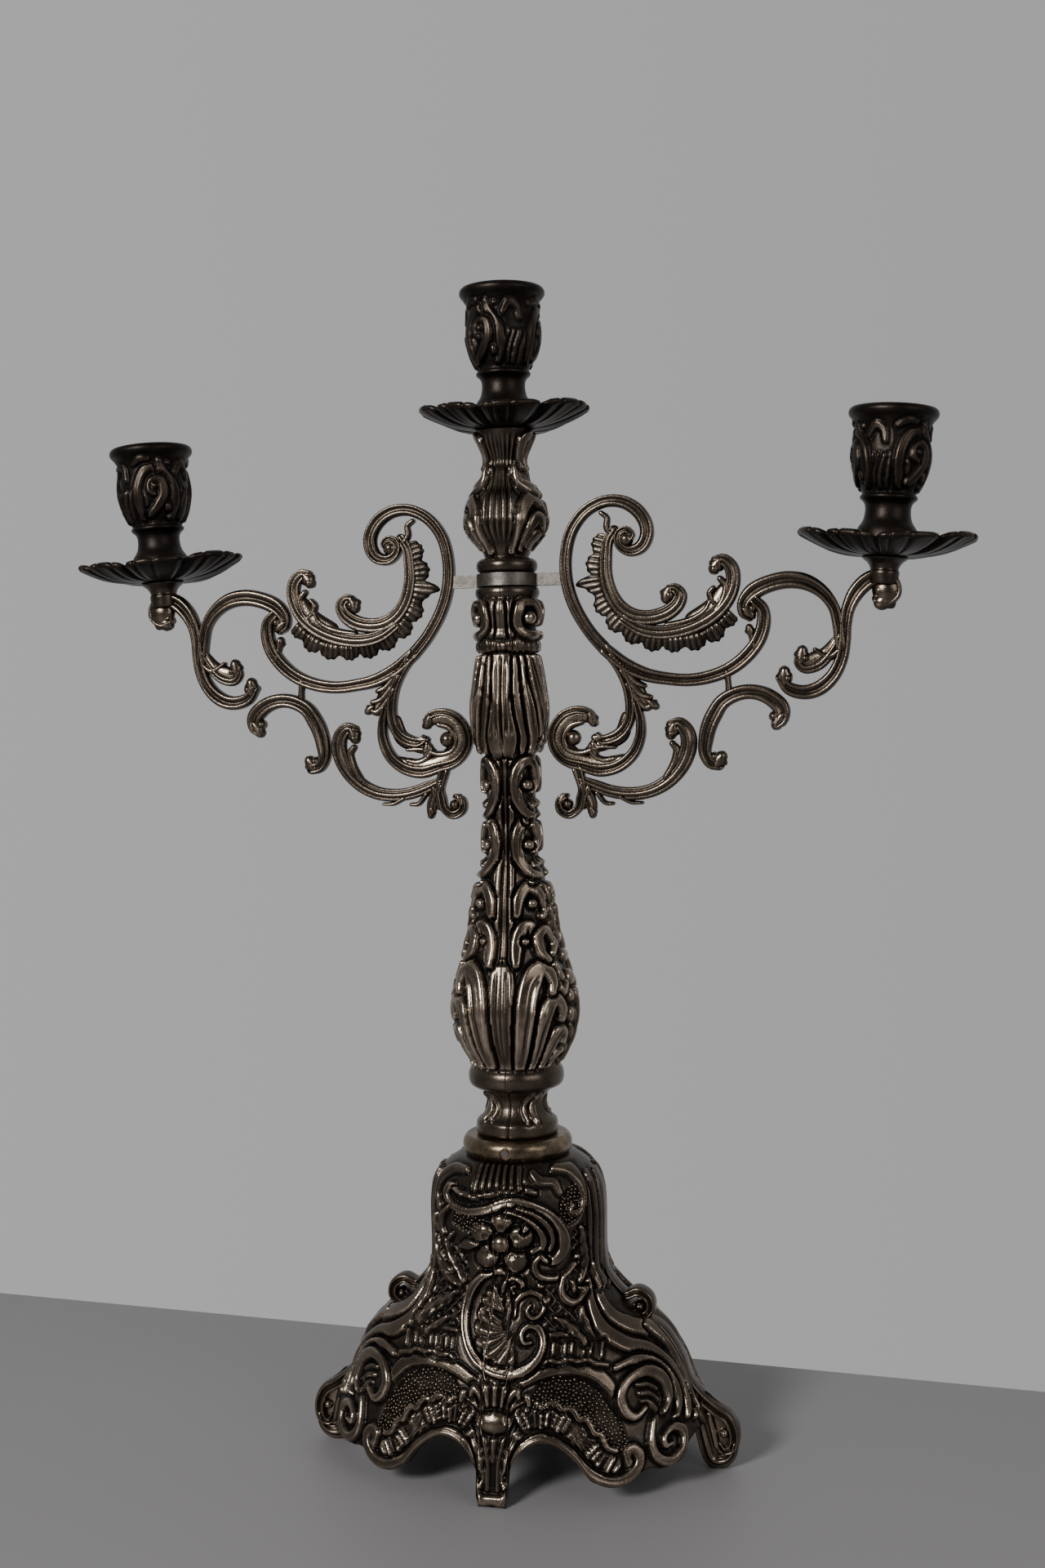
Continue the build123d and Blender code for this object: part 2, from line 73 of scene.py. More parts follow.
# ---- nodes, for shaders and for geometry ----
class Tone:
    """A number in a node tree. Sums and products of tones add Math nodes."""

    def __init__(self, maker, socket):
        self.maker = maker
        self.socket = socket

    def math(self, operation, *others):
        made = self.maker.node("ShaderNodeMath", {"operation": operation}, dict(enumerate((self, *others))))
        return Tone(self.maker, made.outputs[0])

    def __add__(self, other):
        return self.math("ADD", other)

    def __radd__(self, other):
        return self.math("ADD", other)

    def __sub__(self, other):
        return self.math("SUBTRACT", other)

    def __rsub__(self, other):
        made = self.maker.node("ShaderNodeMath", {"operation": "SUBTRACT"}, {0: other, 1: self})
        return Tone(self.maker, made.outputs[0])

    def __mul__(self, other):
        return self.math("MULTIPLY", other)

    def __rmul__(self, other):
        return self.math("MULTIPLY", other)

    def held(self, low=0.0, high=1.0):
        """The tone kept between two values."""
        return self.math("MAXIMUM", low).math("MINIMUM", high)


class Maker:
    """Adds nodes to one tree."""

    def __init__(self, tree):
        self.tree = tree

    def node(self, kind, settings=None, inputs=None):
        """A node of this kind: its settings first, then its sockets' values or links."""
        made = self.tree.nodes.new(kind)
        for key, value in (settings or {}).items():
            if key == "stops":
                ramp = made.color_ramp
                while len(ramp.elements) < len(value):
                    ramp.elements.new(0.5)
                for element, (place, colour) in zip(ramp.elements, value):
                    element.position = place
                    element.color = (*colour, 1)
            else:
                setattr(made, key, value)
        for key, value in (inputs or {}).items():
            if isinstance(value, Tone):
                self.tree.links.new(value.socket, made.inputs[key])
            elif isinstance(value, bpy.types.NodeSocket):
                self.tree.links.new(value, made.inputs[key])
            else:
                made.inputs[key].default_value = value
        return made

    def noise(self, place, scale, detail=4.0, roughness=0.6):
        """Cloudy pattern, as a tone around 0.5."""
        made = self.node("ShaderNodeTexNoise", None, {"Vector": place, "Scale": scale, "Detail": detail,
                                                      "Roughness": roughness})
        return Tone(self, made.outputs["Fac"])


def aged_metal(name, colours, shine, rubbed=None):
    """Cast metal with dark patina in its hollows and rubbed high places.

    colours run from the deepest patina to the brightest rubbed metal. rubbed is a level for a
    plain part, and is left out where the piece carries its own rub attribute.
    """
    material = bpy.data.materials.new(name)
    material.use_nodes = True
    tree = material.node_tree
    tree.nodes.clear()
    maker = Maker(tree)
    place = maker.node("ShaderNodeTexCoord").outputs["Object"]
    cloud = maker.noise(place, 45.0, 5.0)
    blotch = maker.noise(place, 225.0, 4.0)
    grain = maker.noise(place, 1400.0, 3.0, 0.7)
    speck = Tone(maker, maker.node("ShaderNodeTexVoronoi", {"feature": "DISTANCE_TO_EDGE"},
                                   {"Vector": place, "Scale": 900.0}).outputs["Distance"])
    if rubbed is None:
        rub = Tone(maker, maker.node("ShaderNodeAttribute", {"attribute_name": "rub"}).outputs["Fac"])
    else:
        rub = blotch * 0.5 + (rubbed - 0.25)
    wear = (rub + (cloud - 0.5) * 0.4 + (blotch - 0.5) * 0.35 + (grain - 0.5) * 0.2).held()
    stops = list(zip((0.0, 0.26, 0.47, 0.76, 1.0), colours))
    colour = maker.node("ShaderNodeValToRGB", {"stops": stops}, {"Fac": wear}).outputs["Color"]
    roughness = (shine + (1 - wear) * 0.16 + (grain - 0.5) * 0.14 + (blotch - 0.5) * 0.16).held(0.12, 0.9)
    height = grain * 0.6 + speck.held(0.0, 0.25) * 1.2 + blotch * 0.8
    bump = maker.node("ShaderNodeBump", None, {"Height": height, "Strength": 0.24, "Distance": 0.0002})
    metallic = (wear * 0.4 + 0.75).held()
    surface = maker.node("ShaderNodeBsdfPrincipled", None, {
        "Base Color": colour, "Roughness": roughness, "Metallic": metallic,
        "Normal": bump.outputs["Normal"]})
    maker.node("ShaderNodeOutputMaterial", None, {"Surface": surface.outputs["BSDF"]})
    return material


# from the deepest hollow to the most rubbed edge
cast_colours = [(0.003, 0.0025, 0.0022), (0.016, 0.0125, 0.010), (0.088, 0.071, 0.056),
                (0.20, 0.160, 0.124), (0.52, 0.43, 0.34)]
dark_colours = [(0.003, 0.0025, 0.0022), (0.010, 0.008, 0.0066), (0.034, 0.026, 0.021),
                (0.085, 0.067, 0.053), (0.30, 0.25, 0.20)]
brass_colours = [(0.008, 0.006, 0.004), (0.035, 0.026, 0.018), (0.14, 0.105, 0.07),
                 (0.33, 0.255, 0.175), (0.66, 0.54, 0.4)]
steel_colours = [(0.03, 0.026, 0.022), (0.07, 0.062, 0.054), (0.15, 0.138, 0.124),
                 (0.27, 0.252, 0.228), (0.46, 0.44, 0.41)]
cast_relief = aged_metal("cast_relief", cast_colours, 0.2)
dark_cup = aged_metal("dark_cup", dark_colours, 0.3)
worn_collar = aged_metal("worn_collar", brass_colours, 0.22, 0.55)
band_strip = aged_metal("band_strip", steel_colours, 0.38, 0.5)
steel_hardware = aged_metal("steel_hardware", steel_colours, 0.3, 0.5)


# ---- curves ----
def smooth(points, step=0.8):
    """Rows along a smooth curve through the given rows, about a step apart."""
    rows = np.array(points, float)
    if len(rows) == 2:
        count = max(2, int(np.linalg.norm(rows[1, :2] - rows[0, :2]) / step) + 1)
        share = np.linspace(0, 1, count)[:, None]
        return rows[0] * (1 - share) + rows[1] * share
    rows = np.vstack([2 * rows[0] - rows[1], rows, 2 * rows[-1] - rows[-2]])
    out = []
    for before, start, end, after in zip(rows[:-3], rows[1:-2], rows[2:-1], rows[3:]):
        count = max(1, int(np.linalg.norm(end[:2] - start[:2]) / step + 0.5))
        t = (np.arange(count) / count)[:, None]
        bend = 2 * before - 5 * start + 4 * end - after
        twist = 3 * start - before - 3 * end + after
        out.append(0.5 * (2 * start + (end - before) * t + bend * t ** 2 + twist * t ** 3))
    out.append(rows[-2][None, :])
    return np.vstack(out)


def spiral(x, z, radius, start, turns, width=1.6):
    """Points that wind in to a centre. start is in degrees, and positive turns go anticlockwise."""
    count = int(abs(turns) * 12) + 3
    points = []
    for index in range(count):
        share = index / (count - 1)
        angle = math.radians(start + 360 * turns * share)
        reach = radius * (1 - 0.85 * share)
        points.append((x + reach * math.cos(angle), z + reach * math.sin(angle), width * (1 - 0.4 * share)))
    return points


def inside(outline, x, z):
    """Which of the places lie inside a closed outline."""
    corners = smooth(list(outline) + [outline[0]], 1.5)[:, :2]
    hit = np.zeros(x.shape, bool)
    for (x0, z0), (x1, z1) in zip(corners[:-1], corners[1:]):
        if z0 == z1:
            continue
        crosses = (z0 > z) != (z1 > z)
        hit ^= crosses & (x < (x1 - x0) * (z - z0) / (z1 - z0) + x0)
    return hit


# ---- relief on a sheet of points ----
class Relief:
    """Height of the decoration over a sheet, drawn in the sheet's own across and up places."""

    def __init__(self, across, up, scale):
        self.across = across
        self.up = up
        self.scale = np.broadcast_to(scale, across.shape)
        self.height = np.zeros(across.shape)
        self.bolder = 1.0

    def near(self, path, reach):
        """Places near a path: which they are, their distance, side and the path's width and share there."""
        spread = reach / max(self.scale.min(), 1e-6)
        low = path[:, :2].min(0)
        high = path[:, :2].max(0)
        picked = ((self.across > low[0] - spread) & (self.across < high[0] + spread)
                  & (self.up > low[1] - reach) & (self.up < high[1] + reach))
        x = self.across[picked]
        z = self.up[picked]
        k = self.scale[picked]
        best = np.full(x.shape, 1e9)
        side = np.zeros(x.shape)
        width = np.zeros(x.shape)
        share = np.zeros(x.shape)
        for index in range(len(path) - 1):
            start = path[index]
            end = path[index + 1]
            dx = (end[0] - start[0]) * k
            dz = end[1] - start[1]
            ox = (x - start[0]) * k
            oz = z - start[1]
            t = np.clip((ox * dx + oz * dz) / np.maximum(dx * dx + dz * dz, 1e-12), 0, 1)
            gap = np.hypot(ox - t * dx, oz - t * dz)
            closer = gap < best
            best = np.where(closer, gap, best)
            side = np.where(closer, np.sign(dx * oz - dz * ox), side)
            width = np.where(closer, start[2] + (end[2] - start[2]) * t, width)
            share = np.where(closer, (index + t) / (len(path) - 1), share)
        return picked, best, side, width, share

    def rib(self, points, rise, moat=0.5, flat=0.0, lines=1):
        """Raised rounded band along (across, up, width) points.

        moat is the depth of the cut beside it, flat squares its back, and lines grooves it lengthwise.
        """
        path = smooth(points)
        path[:, 2] *= self.bolder
        picked, gap, side, width, _ = self.near(path, path[:, 2].max() / 2 + 1.2)
        half = width / 2
        place = gap / np.maximum(half, 0.05)
        back = np.clip(np.sqrt(np.clip(1 - place ** 2, 0, 1)) * (1 + flat), 0, 1)
        if lines > 1:
            across = (side * np.clip(place, 0, 1) + 1) / 2
            back = back * (0.68 + 0.32 * np.abs(np.sin(math.pi * lines * across)))
        here = self.height[picked]
        raised = np.where(place < 1, np.maximum(here, rise * back + 0.12), here)
        sunk = (place >= 1) & (gap < half + 0.9)
        raised = np.where(sunk, np.minimum(raised, -moat * np.clip((half + 0.9 - gap) / 0.9, 0, 1)), raised)
        self.height[picked] = raised

    def groove(self, points, depth=0.9):
        """Narrow cut along (across, up, width) points, with a soft shoulder on both sides."""
        path = smooth(points)
        picked, gap, _, width, share = self.near(path, 4.0)
        half = width / 2
        fade = np.clip(np.minimum(share, 1 - share) * 6, 0, 1)
        cut = np.exp(-(gap / half) ** 2) * depth
        shoulder = 0.35 * depth * np.exp(-((gap - half * 2.6) / (half * 1.6)) ** 2)
        self.height[picked] -= (cut - shoulder) * fade

    def leaf(self, points, rise, lobes=4):
        """Broad leaf along (across, up, width) points: a midrib, lobed edges and a vein to each lobe."""
        path = smooth(points)
        picked, gap, _, width, share = self.near(path, path[:, 2].max() / 2 + 1.5)
        half = width / 2
        place = gap / np.maximum(half, 0.05)
        lobe = np.abs(np.sin(math.pi * lobes * (share - 0.4 / lobes * np.clip(place, 0, 1.2))))
        half = half * (0.76 + 0.28 * lobe ** 0.6)
        place = gap / np.maximum(half, 0.05)
        back = np.sqrt(np.clip(1 - place ** 2, 0, 1))
        vein = 1 - (1 - lobe ** 0.7) * np.clip(place * 1.6, 0, 1) * 0.75
        middle = 0.28 * rise * (np.exp(-(gap / 0.55) ** 2) - np.exp(-((gap - 1.1) / 0.5) ** 2))
        here = self.height[picked]
        raised = np.where(place < 1, np.maximum(here, rise * (0.25 + 0.75 * back) * vein + middle), here)
        sunk = (place >= 1) & (gap < half + 1.0)
        raised = np.where(sunk, np.minimum(raised, -0.8 * np.clip(half + 1.0 - gap, 0, 1)), raised)
        self.height[picked] = raised

    def dome(self, x, z, across, up, rise, turn=0.0, moat=0.4):
        """Raised oval button."""
        k = self.scale
        dx = (self.across - x) * k
        dz = self.up - z
        angle = math.radians(turn)
        u = (dx * math.cos(angle) + dz * math.sin(angle)) / across
        v = (dz * math.cos(angle) - dx * math.sin(angle)) / up
        reach = np.hypot(u, v)
        top = rise * np.sqrt(np.clip(1 - reach ** 2, 0, 1))
        ring = (reach >= 1) & (reach < 1.3) & (moat > 0)
        self.height = np.where(reach < 1, np.maximum(self.height, top), self.height)
        self.height = np.where(ring, np.minimum(self.height, -moat), self.height)

    def fan(self, x, z, inner, outer, start, stop, flutes, rise, sweep_round=0.0):
        """Fluted shell around a point, with a raised scalloped rim. sweep_round bends the flutes."""
        dx = (self.across - x) * self.scale
        dz = self.up - z
        reach = np.hypot(dx, dz)
        angle = np.degrees(np.arctan2(dz, dx))
        turn = (angle - start) % 360
        span = (stop - start) % 360
        share = (turn + sweep_round * (reach - inner)) / span
        wave = np.abs(np.sin(math.pi * flutes * share)) ** 0.55
        rim = outer * (0.88 + 0.12 * wave)
        hit = (turn < span) & (reach > inner) & (reach < rim)
        swell = np.clip((reach - inner) / (outer - inner), 0, 1)
        lip = np.clip(1 - np.abs(reach - rim + 0.9) / 0.9, 0, 1)
        top = rise * (0.1 + 0.9 * wave) * (0.45 + 0.4 * swell) + 0.8 * lip
        self.height = np.where(hit, np.maximum(top, 0), self.height)
        gap = (turn < span) & (reach >= rim) & (reach < rim + 1.0)
        self.height = np.where(gap, np.minimum(self.height, -0.7), self.height)

    def sink(self, outline, depth):
        """Field inside an outline, set below the rest."""
        hit = inside(outline, self.across, self.up)
        self.height = np.where(hit, self.height - depth, self.height)
        return hit

    def lattice(self, outline, spacing, rise):
        """Diamond lattice of raised bars over a field, with its openings sunk."""
        hit = inside(outline, self.across, self.up)
        one = ((self.across + self.up) / spacing) % 1.0
        other = ((self.across - self.up) / spacing) % 1.0
        line = np.maximum(np.abs(one - 0.5), np.abs(other - 0.5))
        top = (rise + 0.9) * np.clip((line - 0.34) / 0.1, 0, 1) - 0.9
        self.height = np.where(hit, top, self.height)

    def blurred(self, rounds, wrap=False):
        """The height spread over its neighbours on the sheet."""
        out = self.height.copy()
        for _ in range(rounds):
            padded = np.pad(out, 1, mode="edge")
            if wrap:
                padded[:, 0] = padded[:, -2]
                padded[:, -1] = padded[:, 1]
            out = (padded[1:-1, 1:-1] * 2 + padded[:-2, 1:-1] + padded[2:, 1:-1] + padded[1:-1, :-2]
                   + padded[1:-1, 2:]) / 6
        return out

    def rub(self, gain=0.55, level=0.42, rounds=14, wrap=False):
        """How rubbed each place is: high places are bright and hollows are dark."""
        soft = self.blurred(1, wrap)
        rise = soft - self.blurred(rounds, wrap)
        return np.clip(level + gain * rise + 0.1 * soft, 0, 1)


# ---- meshes ----
class Shape:
    """Parts gathered into one mesh: points in millimetres, faces and how rubbed each point is."""

    def __init__(self):
        self.points = []
        self.faces = []
        self.rubs = []
        self.count = 0

    def add(self, points, faces, rub):
        """A closed part. It is turned the right way out by the sign of its volume."""
        points = np.asarray(points, float).reshape(-1, 3)
        rub = np.broadcast_to(np.asarray(rub, float), (len(points),))
        volume = 0.0
        for face in faces:
            corners = points[np.asarray(face)]
            if corners.ndim == 2:
                corners = corners[None]
            first = corners[:, 0]
            for index in range(1, corners.shape[1] - 1):
                wing = np.cross(corners[:, index], corners[:, index + 1])
                volume += np.einsum("ij,ij->i", first, wing).sum()
        for face in faces:
            array = np.atleast_2d(np.asarray(face))
            if volume < 0:
                array = array[:, ::-1]
            self.faces.extend((array + self.count).tolist())
        self.points.append(points)
        self.rubs.append(rub)
        self.count += len(points)

    def moved(self, matrix):
        """A copy of the shape, moved by a 4 by 4 matrix."""
        other = Shape()
        turn = np.array(matrix)
        other.points = [points @ turn[:3, :3].T + turn[:3, 3] for points in self.points]
        other.faces = self.faces
        other.rubs = self.rubs
        other.count = self.count
        return other

    def join(self, other):
        """Take in another shape's parts."""
        self.faces.extend([point + self.count for point in face] for face in other.faces)
        self.points.extend(other.points)
        self.rubs.extend(other.rubs)
        self.count += other.count

    def piece(self, name, material, body, slot, *nodes):
        """The shape as a Blender piece that rides on a body and stands for CAD nodes."""
        mesh = bpy.data.meshes.new(name)
        mesh.from_pydata((np.vstack(self.points) * MM).tolist(), [], self.faces)
        layer = mesh.attributes.new("rub", "FLOAT", "POINT")
        layer.data.foreach_set("value", np.concatenate(self.rubs).astype(np.float32))
        mesh.polygons.foreach_set("use_smooth", [True] * len(mesh.polygons))
        mesh.materials.append(material)
        mesh.update()
        made = bpy.data.objects.new(name, mesh)
        bpy.context.scene.collection.objects.link(made)
        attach(made, body)
        if nodes:
            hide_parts(*nodes)
        return made


def grid_faces(rows, columns, loop_rows=False, loop_columns=False):
    """Four-cornered faces over a grid of points."""
    last_row = rows if loop_rows else rows - 1
    last_column = columns if loop_columns else columns - 1
    row, column = np.meshgrid(np.arange(last_row), np.arange(last_column), indexing="ij")
    next_row = (row + 1) % rows
    next_column = (column + 1) % columns
    quads = np.stack([row * columns + column, row * columns + next_column, next_row * columns + next_column,
                      next_row * columns + column], -1)
    return quads.reshape(-1, 4)


def tube_faces(rows, sides):
    """Faces of a tube with flat ends."""
    last = (rows - 1) * sides
    return [grid_faces(rows, sides, loop_columns=True), np.array([np.arange(sides)]),
            np.array([np.arange(last + sides - 1, last - 1, -1)])]


def pole_faces(rows, columns):
    """Faces of a round closed skin. Its two poles come after the grid's points."""
    foot = rows * columns
    last = foot - columns
    step = np.arange(columns)
    after = (step + 1) % columns
    low = np.column_stack([after, step, np.full(columns, foot)])
    high = np.column_stack([last + step, last + after, np.full(columns, foot + 1)])
    return [grid_faces(rows, columns, loop_columns=True), np.vstack([low, high])]


def both_faces(places, depth):
    """A ring of points from (x, z) places: the front face at -depth, then the back face."""
    front = np.column_stack([places[:, 0], -depth, places[:, 1]])
    back = np.column_stack([places[::-1, 0], depth[::-1], places[::-1, 1]])
    return np.vstack([front, back])


def sheet_normals(points):
    """Unit normals of a grid of points."""
    down = np.gradient(points, axis=0)
    along = np.gradient(points, axis=1)
    normal = np.cross(along, down)
    return normal / np.maximum(np.linalg.norm(normal, axis=2, keepdims=True), 1e-9)


def ball(shape, x, y, z, radii, rub=0.75, rings=8, sides=14):
    """Closed oval ball with poles front and back."""
    rows = []
    for ring in range(1, rings):
        angle = math.pi * ring / rings
        for step in range(sides):
            turn = 2 * math.pi * step / sides
            rows.append((x + radii[0] * math.sin(angle) * math.cos(turn), y - radii[1] * math.cos(angle),
                         z + radii[2] * math.sin(angle) * math.sin(turn)))
    rows += [(x, y - radii[1], z), (x, y + radii[1], z)]
    shape.add(rows, pole_faces(rings - 1, sides), rub)


# Cross sections of a cast scroll: place across, from -1 to 1, and how far out the face stands.
sections = {
    "double": [(-1, 0.3), (-0.95, 0.62), (-0.82, 0.88), (-0.6, 1.0), (-0.36, 0.92), (-0.16, 0.66),
               (0, 0.58), (0.16, 0.66), (0.36, 0.92), (0.6, 1.0), (0.82, 0.88), (0.95, 0.62), (1, 0.3)],
    "rim": [(-1, 0.35), (-0.95, 0.7), (-0.8, 0.95), (-0.62, 1.0), (-0.45, 0.85), (-0.3, 0.66),
            (-0.1, 0.62), (0.12, 0.7), (0.36, 0.86), (0.6, 0.84), (0.8, 0.66), (0.94, 0.44), (1, 0.2)],
    "leaf": [(-1, 0.25), (-0.9, 0.62), (-0.72, 0.82), (-0.52, 0.6), (-0.38, 0.68), (-0.18, 0.95),
             (0, 1.0), (0.18, 0.95), (0.38, 0.68), (0.52, 0.6), (0.72, 0.82), (0.9, 0.62), (1, 0.25)],
    "round": [(-1, 0.0), (-0.92, 0.4), (-0.75, 0.68), (-0.5, 0.87), (-0.25, 0.97), (0, 1.0),
              (0.25, 0.97), (0.5, 0.87), (0.75, 0.68), (0.92, 0.4), (1, 0.0)],
}


def sweep(shape, points, thickness, section="double", step=0.9):
    """Cast scroll along (x, z, width) points, with the same ribbed face front and back."""
    path = smooth(points, step)
    profile = np.array(sections[section])
    along = np.gradient(path[:, :2], axis=0)
    along /= np.maximum(np.linalg.norm(along, axis=1, keepdims=True), 1e-9)
    across = np.column_stack([-along[:, 1], along[:, 0]])
    half = path[:, 2] / 2
    rounds = [(math.cos(a), math.sin(a)) for a in np.radians([85, 60, 35, 15])]
    rings = []
    for narrow, reach in rounds:
        rings.append((path[0, :2] - along[0] * half[0] * reach, across[0], half[0] * narrow, narrow))
    for index in range(len(path)):
        rings.append((path[index, :2], across[index], half[index], 1.0))
    for narrow, reach in reversed(rounds):
        rings.append((path[-1, :2] + along[-1] * half[-1] * reach, across[-1], half[-1] * narrow, narrow))
    rows = []
    rubs = []
    top = thickness / 2
    mean = profile[:, 1].mean()
    for centre, out, wide, narrow in rings:
        places = centre + profile[:, :1] * wide * out
        depth = profile[:, 1] * top * (0.35 + 0.65 * narrow)
        rows.append(both_faces(places, depth))
        high = np.clip(0.46 + (profile[:, 1] - mean) * 0.85, 0, 1)
        high[0] = high[-1] = 0.4
        rubs.append(np.concatenate([high, high[::-1]]))
    shape.add(np.vstack(rows), tube_faces(len(rows), len(rows[0])), np.concatenate(rubs))


def outline_rows(stretches, step=0.6):
    """(radius, height) rows along stretches that meet at corners."""
    rows = []
    for stretch in stretches:
        line = smooth(stretch, step)
        rows.append(line if not rows else line[1:])
    return np.vstack(rows)


def profile_normals(rows):
    """Outward normals of a (radius, height) outline."""
    along = np.gradient(rows, axis=0)
    along /= np.maximum(np.linalg.norm(along, axis=1, keepdims=True), 1e-9)
    return np.column_stack([along[:, 1], -along[:, 0]])


def turned_sheet(rows, degrees, height):
    """Points of a turned sheet. Zero degrees is the front, and the angle grows towards +X."""
    normal = profile_normals(rows)
    radius = rows[:, :1] + normal[:, :1] * height
    level = rows[:, 1:] + normal[:, 1:] * height
    angle = np.radians(degrees)[None, :]
    level = np.broadcast_to(level, radius.shape)
    return np.stack([radius * np.sin(angle), -radius * np.cos(angle), level], -1)


def turned(shape, rows, columns, draw=None, level=0.42, gain=0.55, rounds=12):
    """Turned solid with relief. The outline's first and last rows lie on the axis."""
    degrees = np.linspace(-180, 180, columns, endpoint=False)
    inner = rows[1:-1]
    across, up = np.meshgrid(degrees, inner[:, 1])
    scale = np.maximum(inner[:, :1], 1.0) * math.pi / 180
    relief = Relief(across, up, np.broadcast_to(scale, across.shape))
    if draw:
        draw(relief)
    height = relief.blurred(1, True)
    points = turned_sheet(inner, degrees, height).reshape(-1, 3)
    rub = relief.rub(gain, level, rounds, True).reshape(-1)
    points = np.vstack([points, [[0, 0, rows[0, 1]], [0, 0, rows[-1, 1]]]])
    shape.add(points, pole_faces(len(inner), columns), np.append(rub, [level, level]))


# ---- candle cups and drip pans ----
def draw_cup(relief):
    """Three swirling acanthus scrolls round the cup, over upright flutes."""
    relief.bolder = 1.45
    for turn in (-150, -30, 90, -270):
        for shift in (0, 360):
            a = turn + shift

            def at(*points):
                """Points given as (degrees from the scroll's middle, height, width)."""
                return [(a + degrees, level, width) for degrees, level, width in points]

            for offset in (-52, -40, -28, -16, 48, 60):
                relief.rib(at((offset, 20.5, 2), (offset + 2, 25, 2.6), (offset + 4, 31, 1.4)), 0.8)
            relief.rib(at((-22, 21, 2), (-26, 27, 2.6), (-24, 33, 2.8), (-12, 38.5, 2.8), (4, 40, 2.4),
                          (12, 37, 2), (6, 34, 1.8)), 1.1, lines=2)
            relief.rib(at((34, 21, 2.2), (40, 27, 2.8), (36, 33, 3), (22, 38, 2.8), (16, 42, 2.2)),
                       1.1, lines=2)
            relief.rib(at((-6, 22, 2.2), (8, 25, 2.6), (20, 30, 2.8), (16, 35, 2.4), (2, 35, 2),
                          (-4, 31.5, 1.8), (4, 29.5, 1.6)), 1.25, lines=2)
            relief.rib(at((44, 38, 1.8), (54, 41.5, 2.4), (68, 40, 2.2), (72, 36, 1.8)), 0.9, lines=2)
            relief.rib(at((-30, 41.5, 1.6), (-16, 43, 2.0), (-2, 43, 1.4)), 0.7)
            relief.dome(a + 5, 32.6, 1.3, 1.3, 1.4)
            relief.dome(a + 27, 24.5, 1.4, 2.2, 1.2)
            relief.dome(a + 30, 41.5, 1.2, 1.2, 1.0)


def cup_shape():
    """Candle cup standing on Z = 0: moulded foot, swirling bowl, plain lip and a blind socket."""
    bore = 11.5
    rows = outline_rows([
        [(0, 0.02), (11.6, 0)],
        [(11.6, 0), (11.8, 0.9), (11.4, 2.6), (10.6, 6.0), (8.7, 9.2), (8.1, 12.4), (8.3, 14.8),
         (9.2, 16.2)],
        [(9.2, 16.2), (10.1, 16.9), (10.2, 17.6), (9.6, 18.4)],
        [(9.6, 18.4), (9.8, 19.6), (11.6, 23.4), (13.0, 28.4), (13.4, 32.4), (13.0, 38.0), (13.1, 41.6),
         (14.2, 44.2), (15.3, 45.6)],
        [(15.3, 45.6), (15.9, 46.6), (15.8, 48.0), (14.9, 49.0), (13.4, 49.1), (12.2, 48.8), (11.6, 48.0)],
        [(11.6, 48.0), (bore, 28.2)],
        [(bore, 28.2), (0, 28.1)]], 0.55)
    shape = Shape()
    turned(shape, rows, 190, draw_cup, 0.36, 0.5)
    return shape


def pan_shape():
    """Drip pan standing on Z = 0: a flat leafy dish whose ragged, rolled rim rises to its long tips."""
    columns = 360
    angle = np.radians(np.arange(columns) * 360 / columns)
    wander = angle + 0.10 * np.sin(angle * 3 + 1) + 0.05 * np.sin(angle * 7)
    lobe = np.abs(np.sin(wander * 4 + 0.3))
    crease = np.clip(1 - lobe * 2.4, 0, 1)
    small = np.abs(np.sin(wander * 12 + 0.9))
    notch = np.clip(1 - small * 2.2, 0, 1)
    tip = np.abs(np.sin(angle)) ** 4
    radius = 27.6 + 1.7 * lobe ** 0.5 - 1.5 * crease - 0.9 * notch + 0.4 * np.sin(angle * 5) + 2.2 * tip
    radius = np.minimum(radius, 31.3)
    rise = 5.9 + 2.3 * np.abs(np.sin(angle)) ** 1.5 + 0.6 * lobe - 0.5 * crease - 0.3 * notch
    rise = np.minimum(rise, 8.9)
    points = []
    rubs = []

    def ring(reach, level):
        """One more ring of the dish's skin, from the middle of its foot to the middle of its floor."""
        points.append(np.column_stack([reach * np.sin(angle), -reach * np.cos(angle), level]))

    for share in np.linspace(0.0, 1, 40)[1:]:
        reach = 8.0 + (radius - 8.0) * share
        under = (rise - 2.2) * share ** (2.6 - 0.9 * tip)
        grow = np.clip(share * 1.6, 0, 1)
        relief = (1.3 * crease + 0.7 * notch * share - 0.5 * lobe * math.sin(math.pi * share)) * grow
        vein = 0.12 * np.sin(wander * 36) * share
        ring(reach, under + relief + vein + 0.3)
        rubs.append(np.clip(0.40 - 0.4 * crease * grow - 0.25 * notch * grow + 0.1 * vein, 0, 1))
    for turn in np.radians([35, 70, 105, 140]):
        out = 1.1 * math.sin(turn)
        level = rise - 1.25 - 1.15 * math.cos(turn) + 0.5
        reach = radius - 0.4 + out
        ring(reach, level + 0.6 * crease * (1 if turn < 1.6 else 0))
        rubs.append(np.clip(0.52 - 0.3 * crease - 0.1 * notch, 0, 1))
    for share in np.linspace(0, 1, 30):
        reach = radius - 0.6 - (radius - 12.6) * share
        inner = pan_floor + (rise + 0.4 - pan_floor) * (1 - share) ** 2.4
        ruffle = 0.9 * (lobe - 0.5) - 0.9 * crease - 0.5 * notch
        ring(reach, inner + ruffle * math.sin(math.pi * min(share + 0.12, 1)))
        rubs.append(np.clip(0.36 - 0.3 * crease + 0.1 * small, 0, 1))
    rows = len(points)
    points = np.vstack(points + [[[0, 0, 0.0]], [[0, 0, pan_floor]]])
    shape = Shape()
    shape.add(points, pole_faces(rows, columns), np.append(np.concatenate(rubs), [0.3, 0.3]))
    return shape


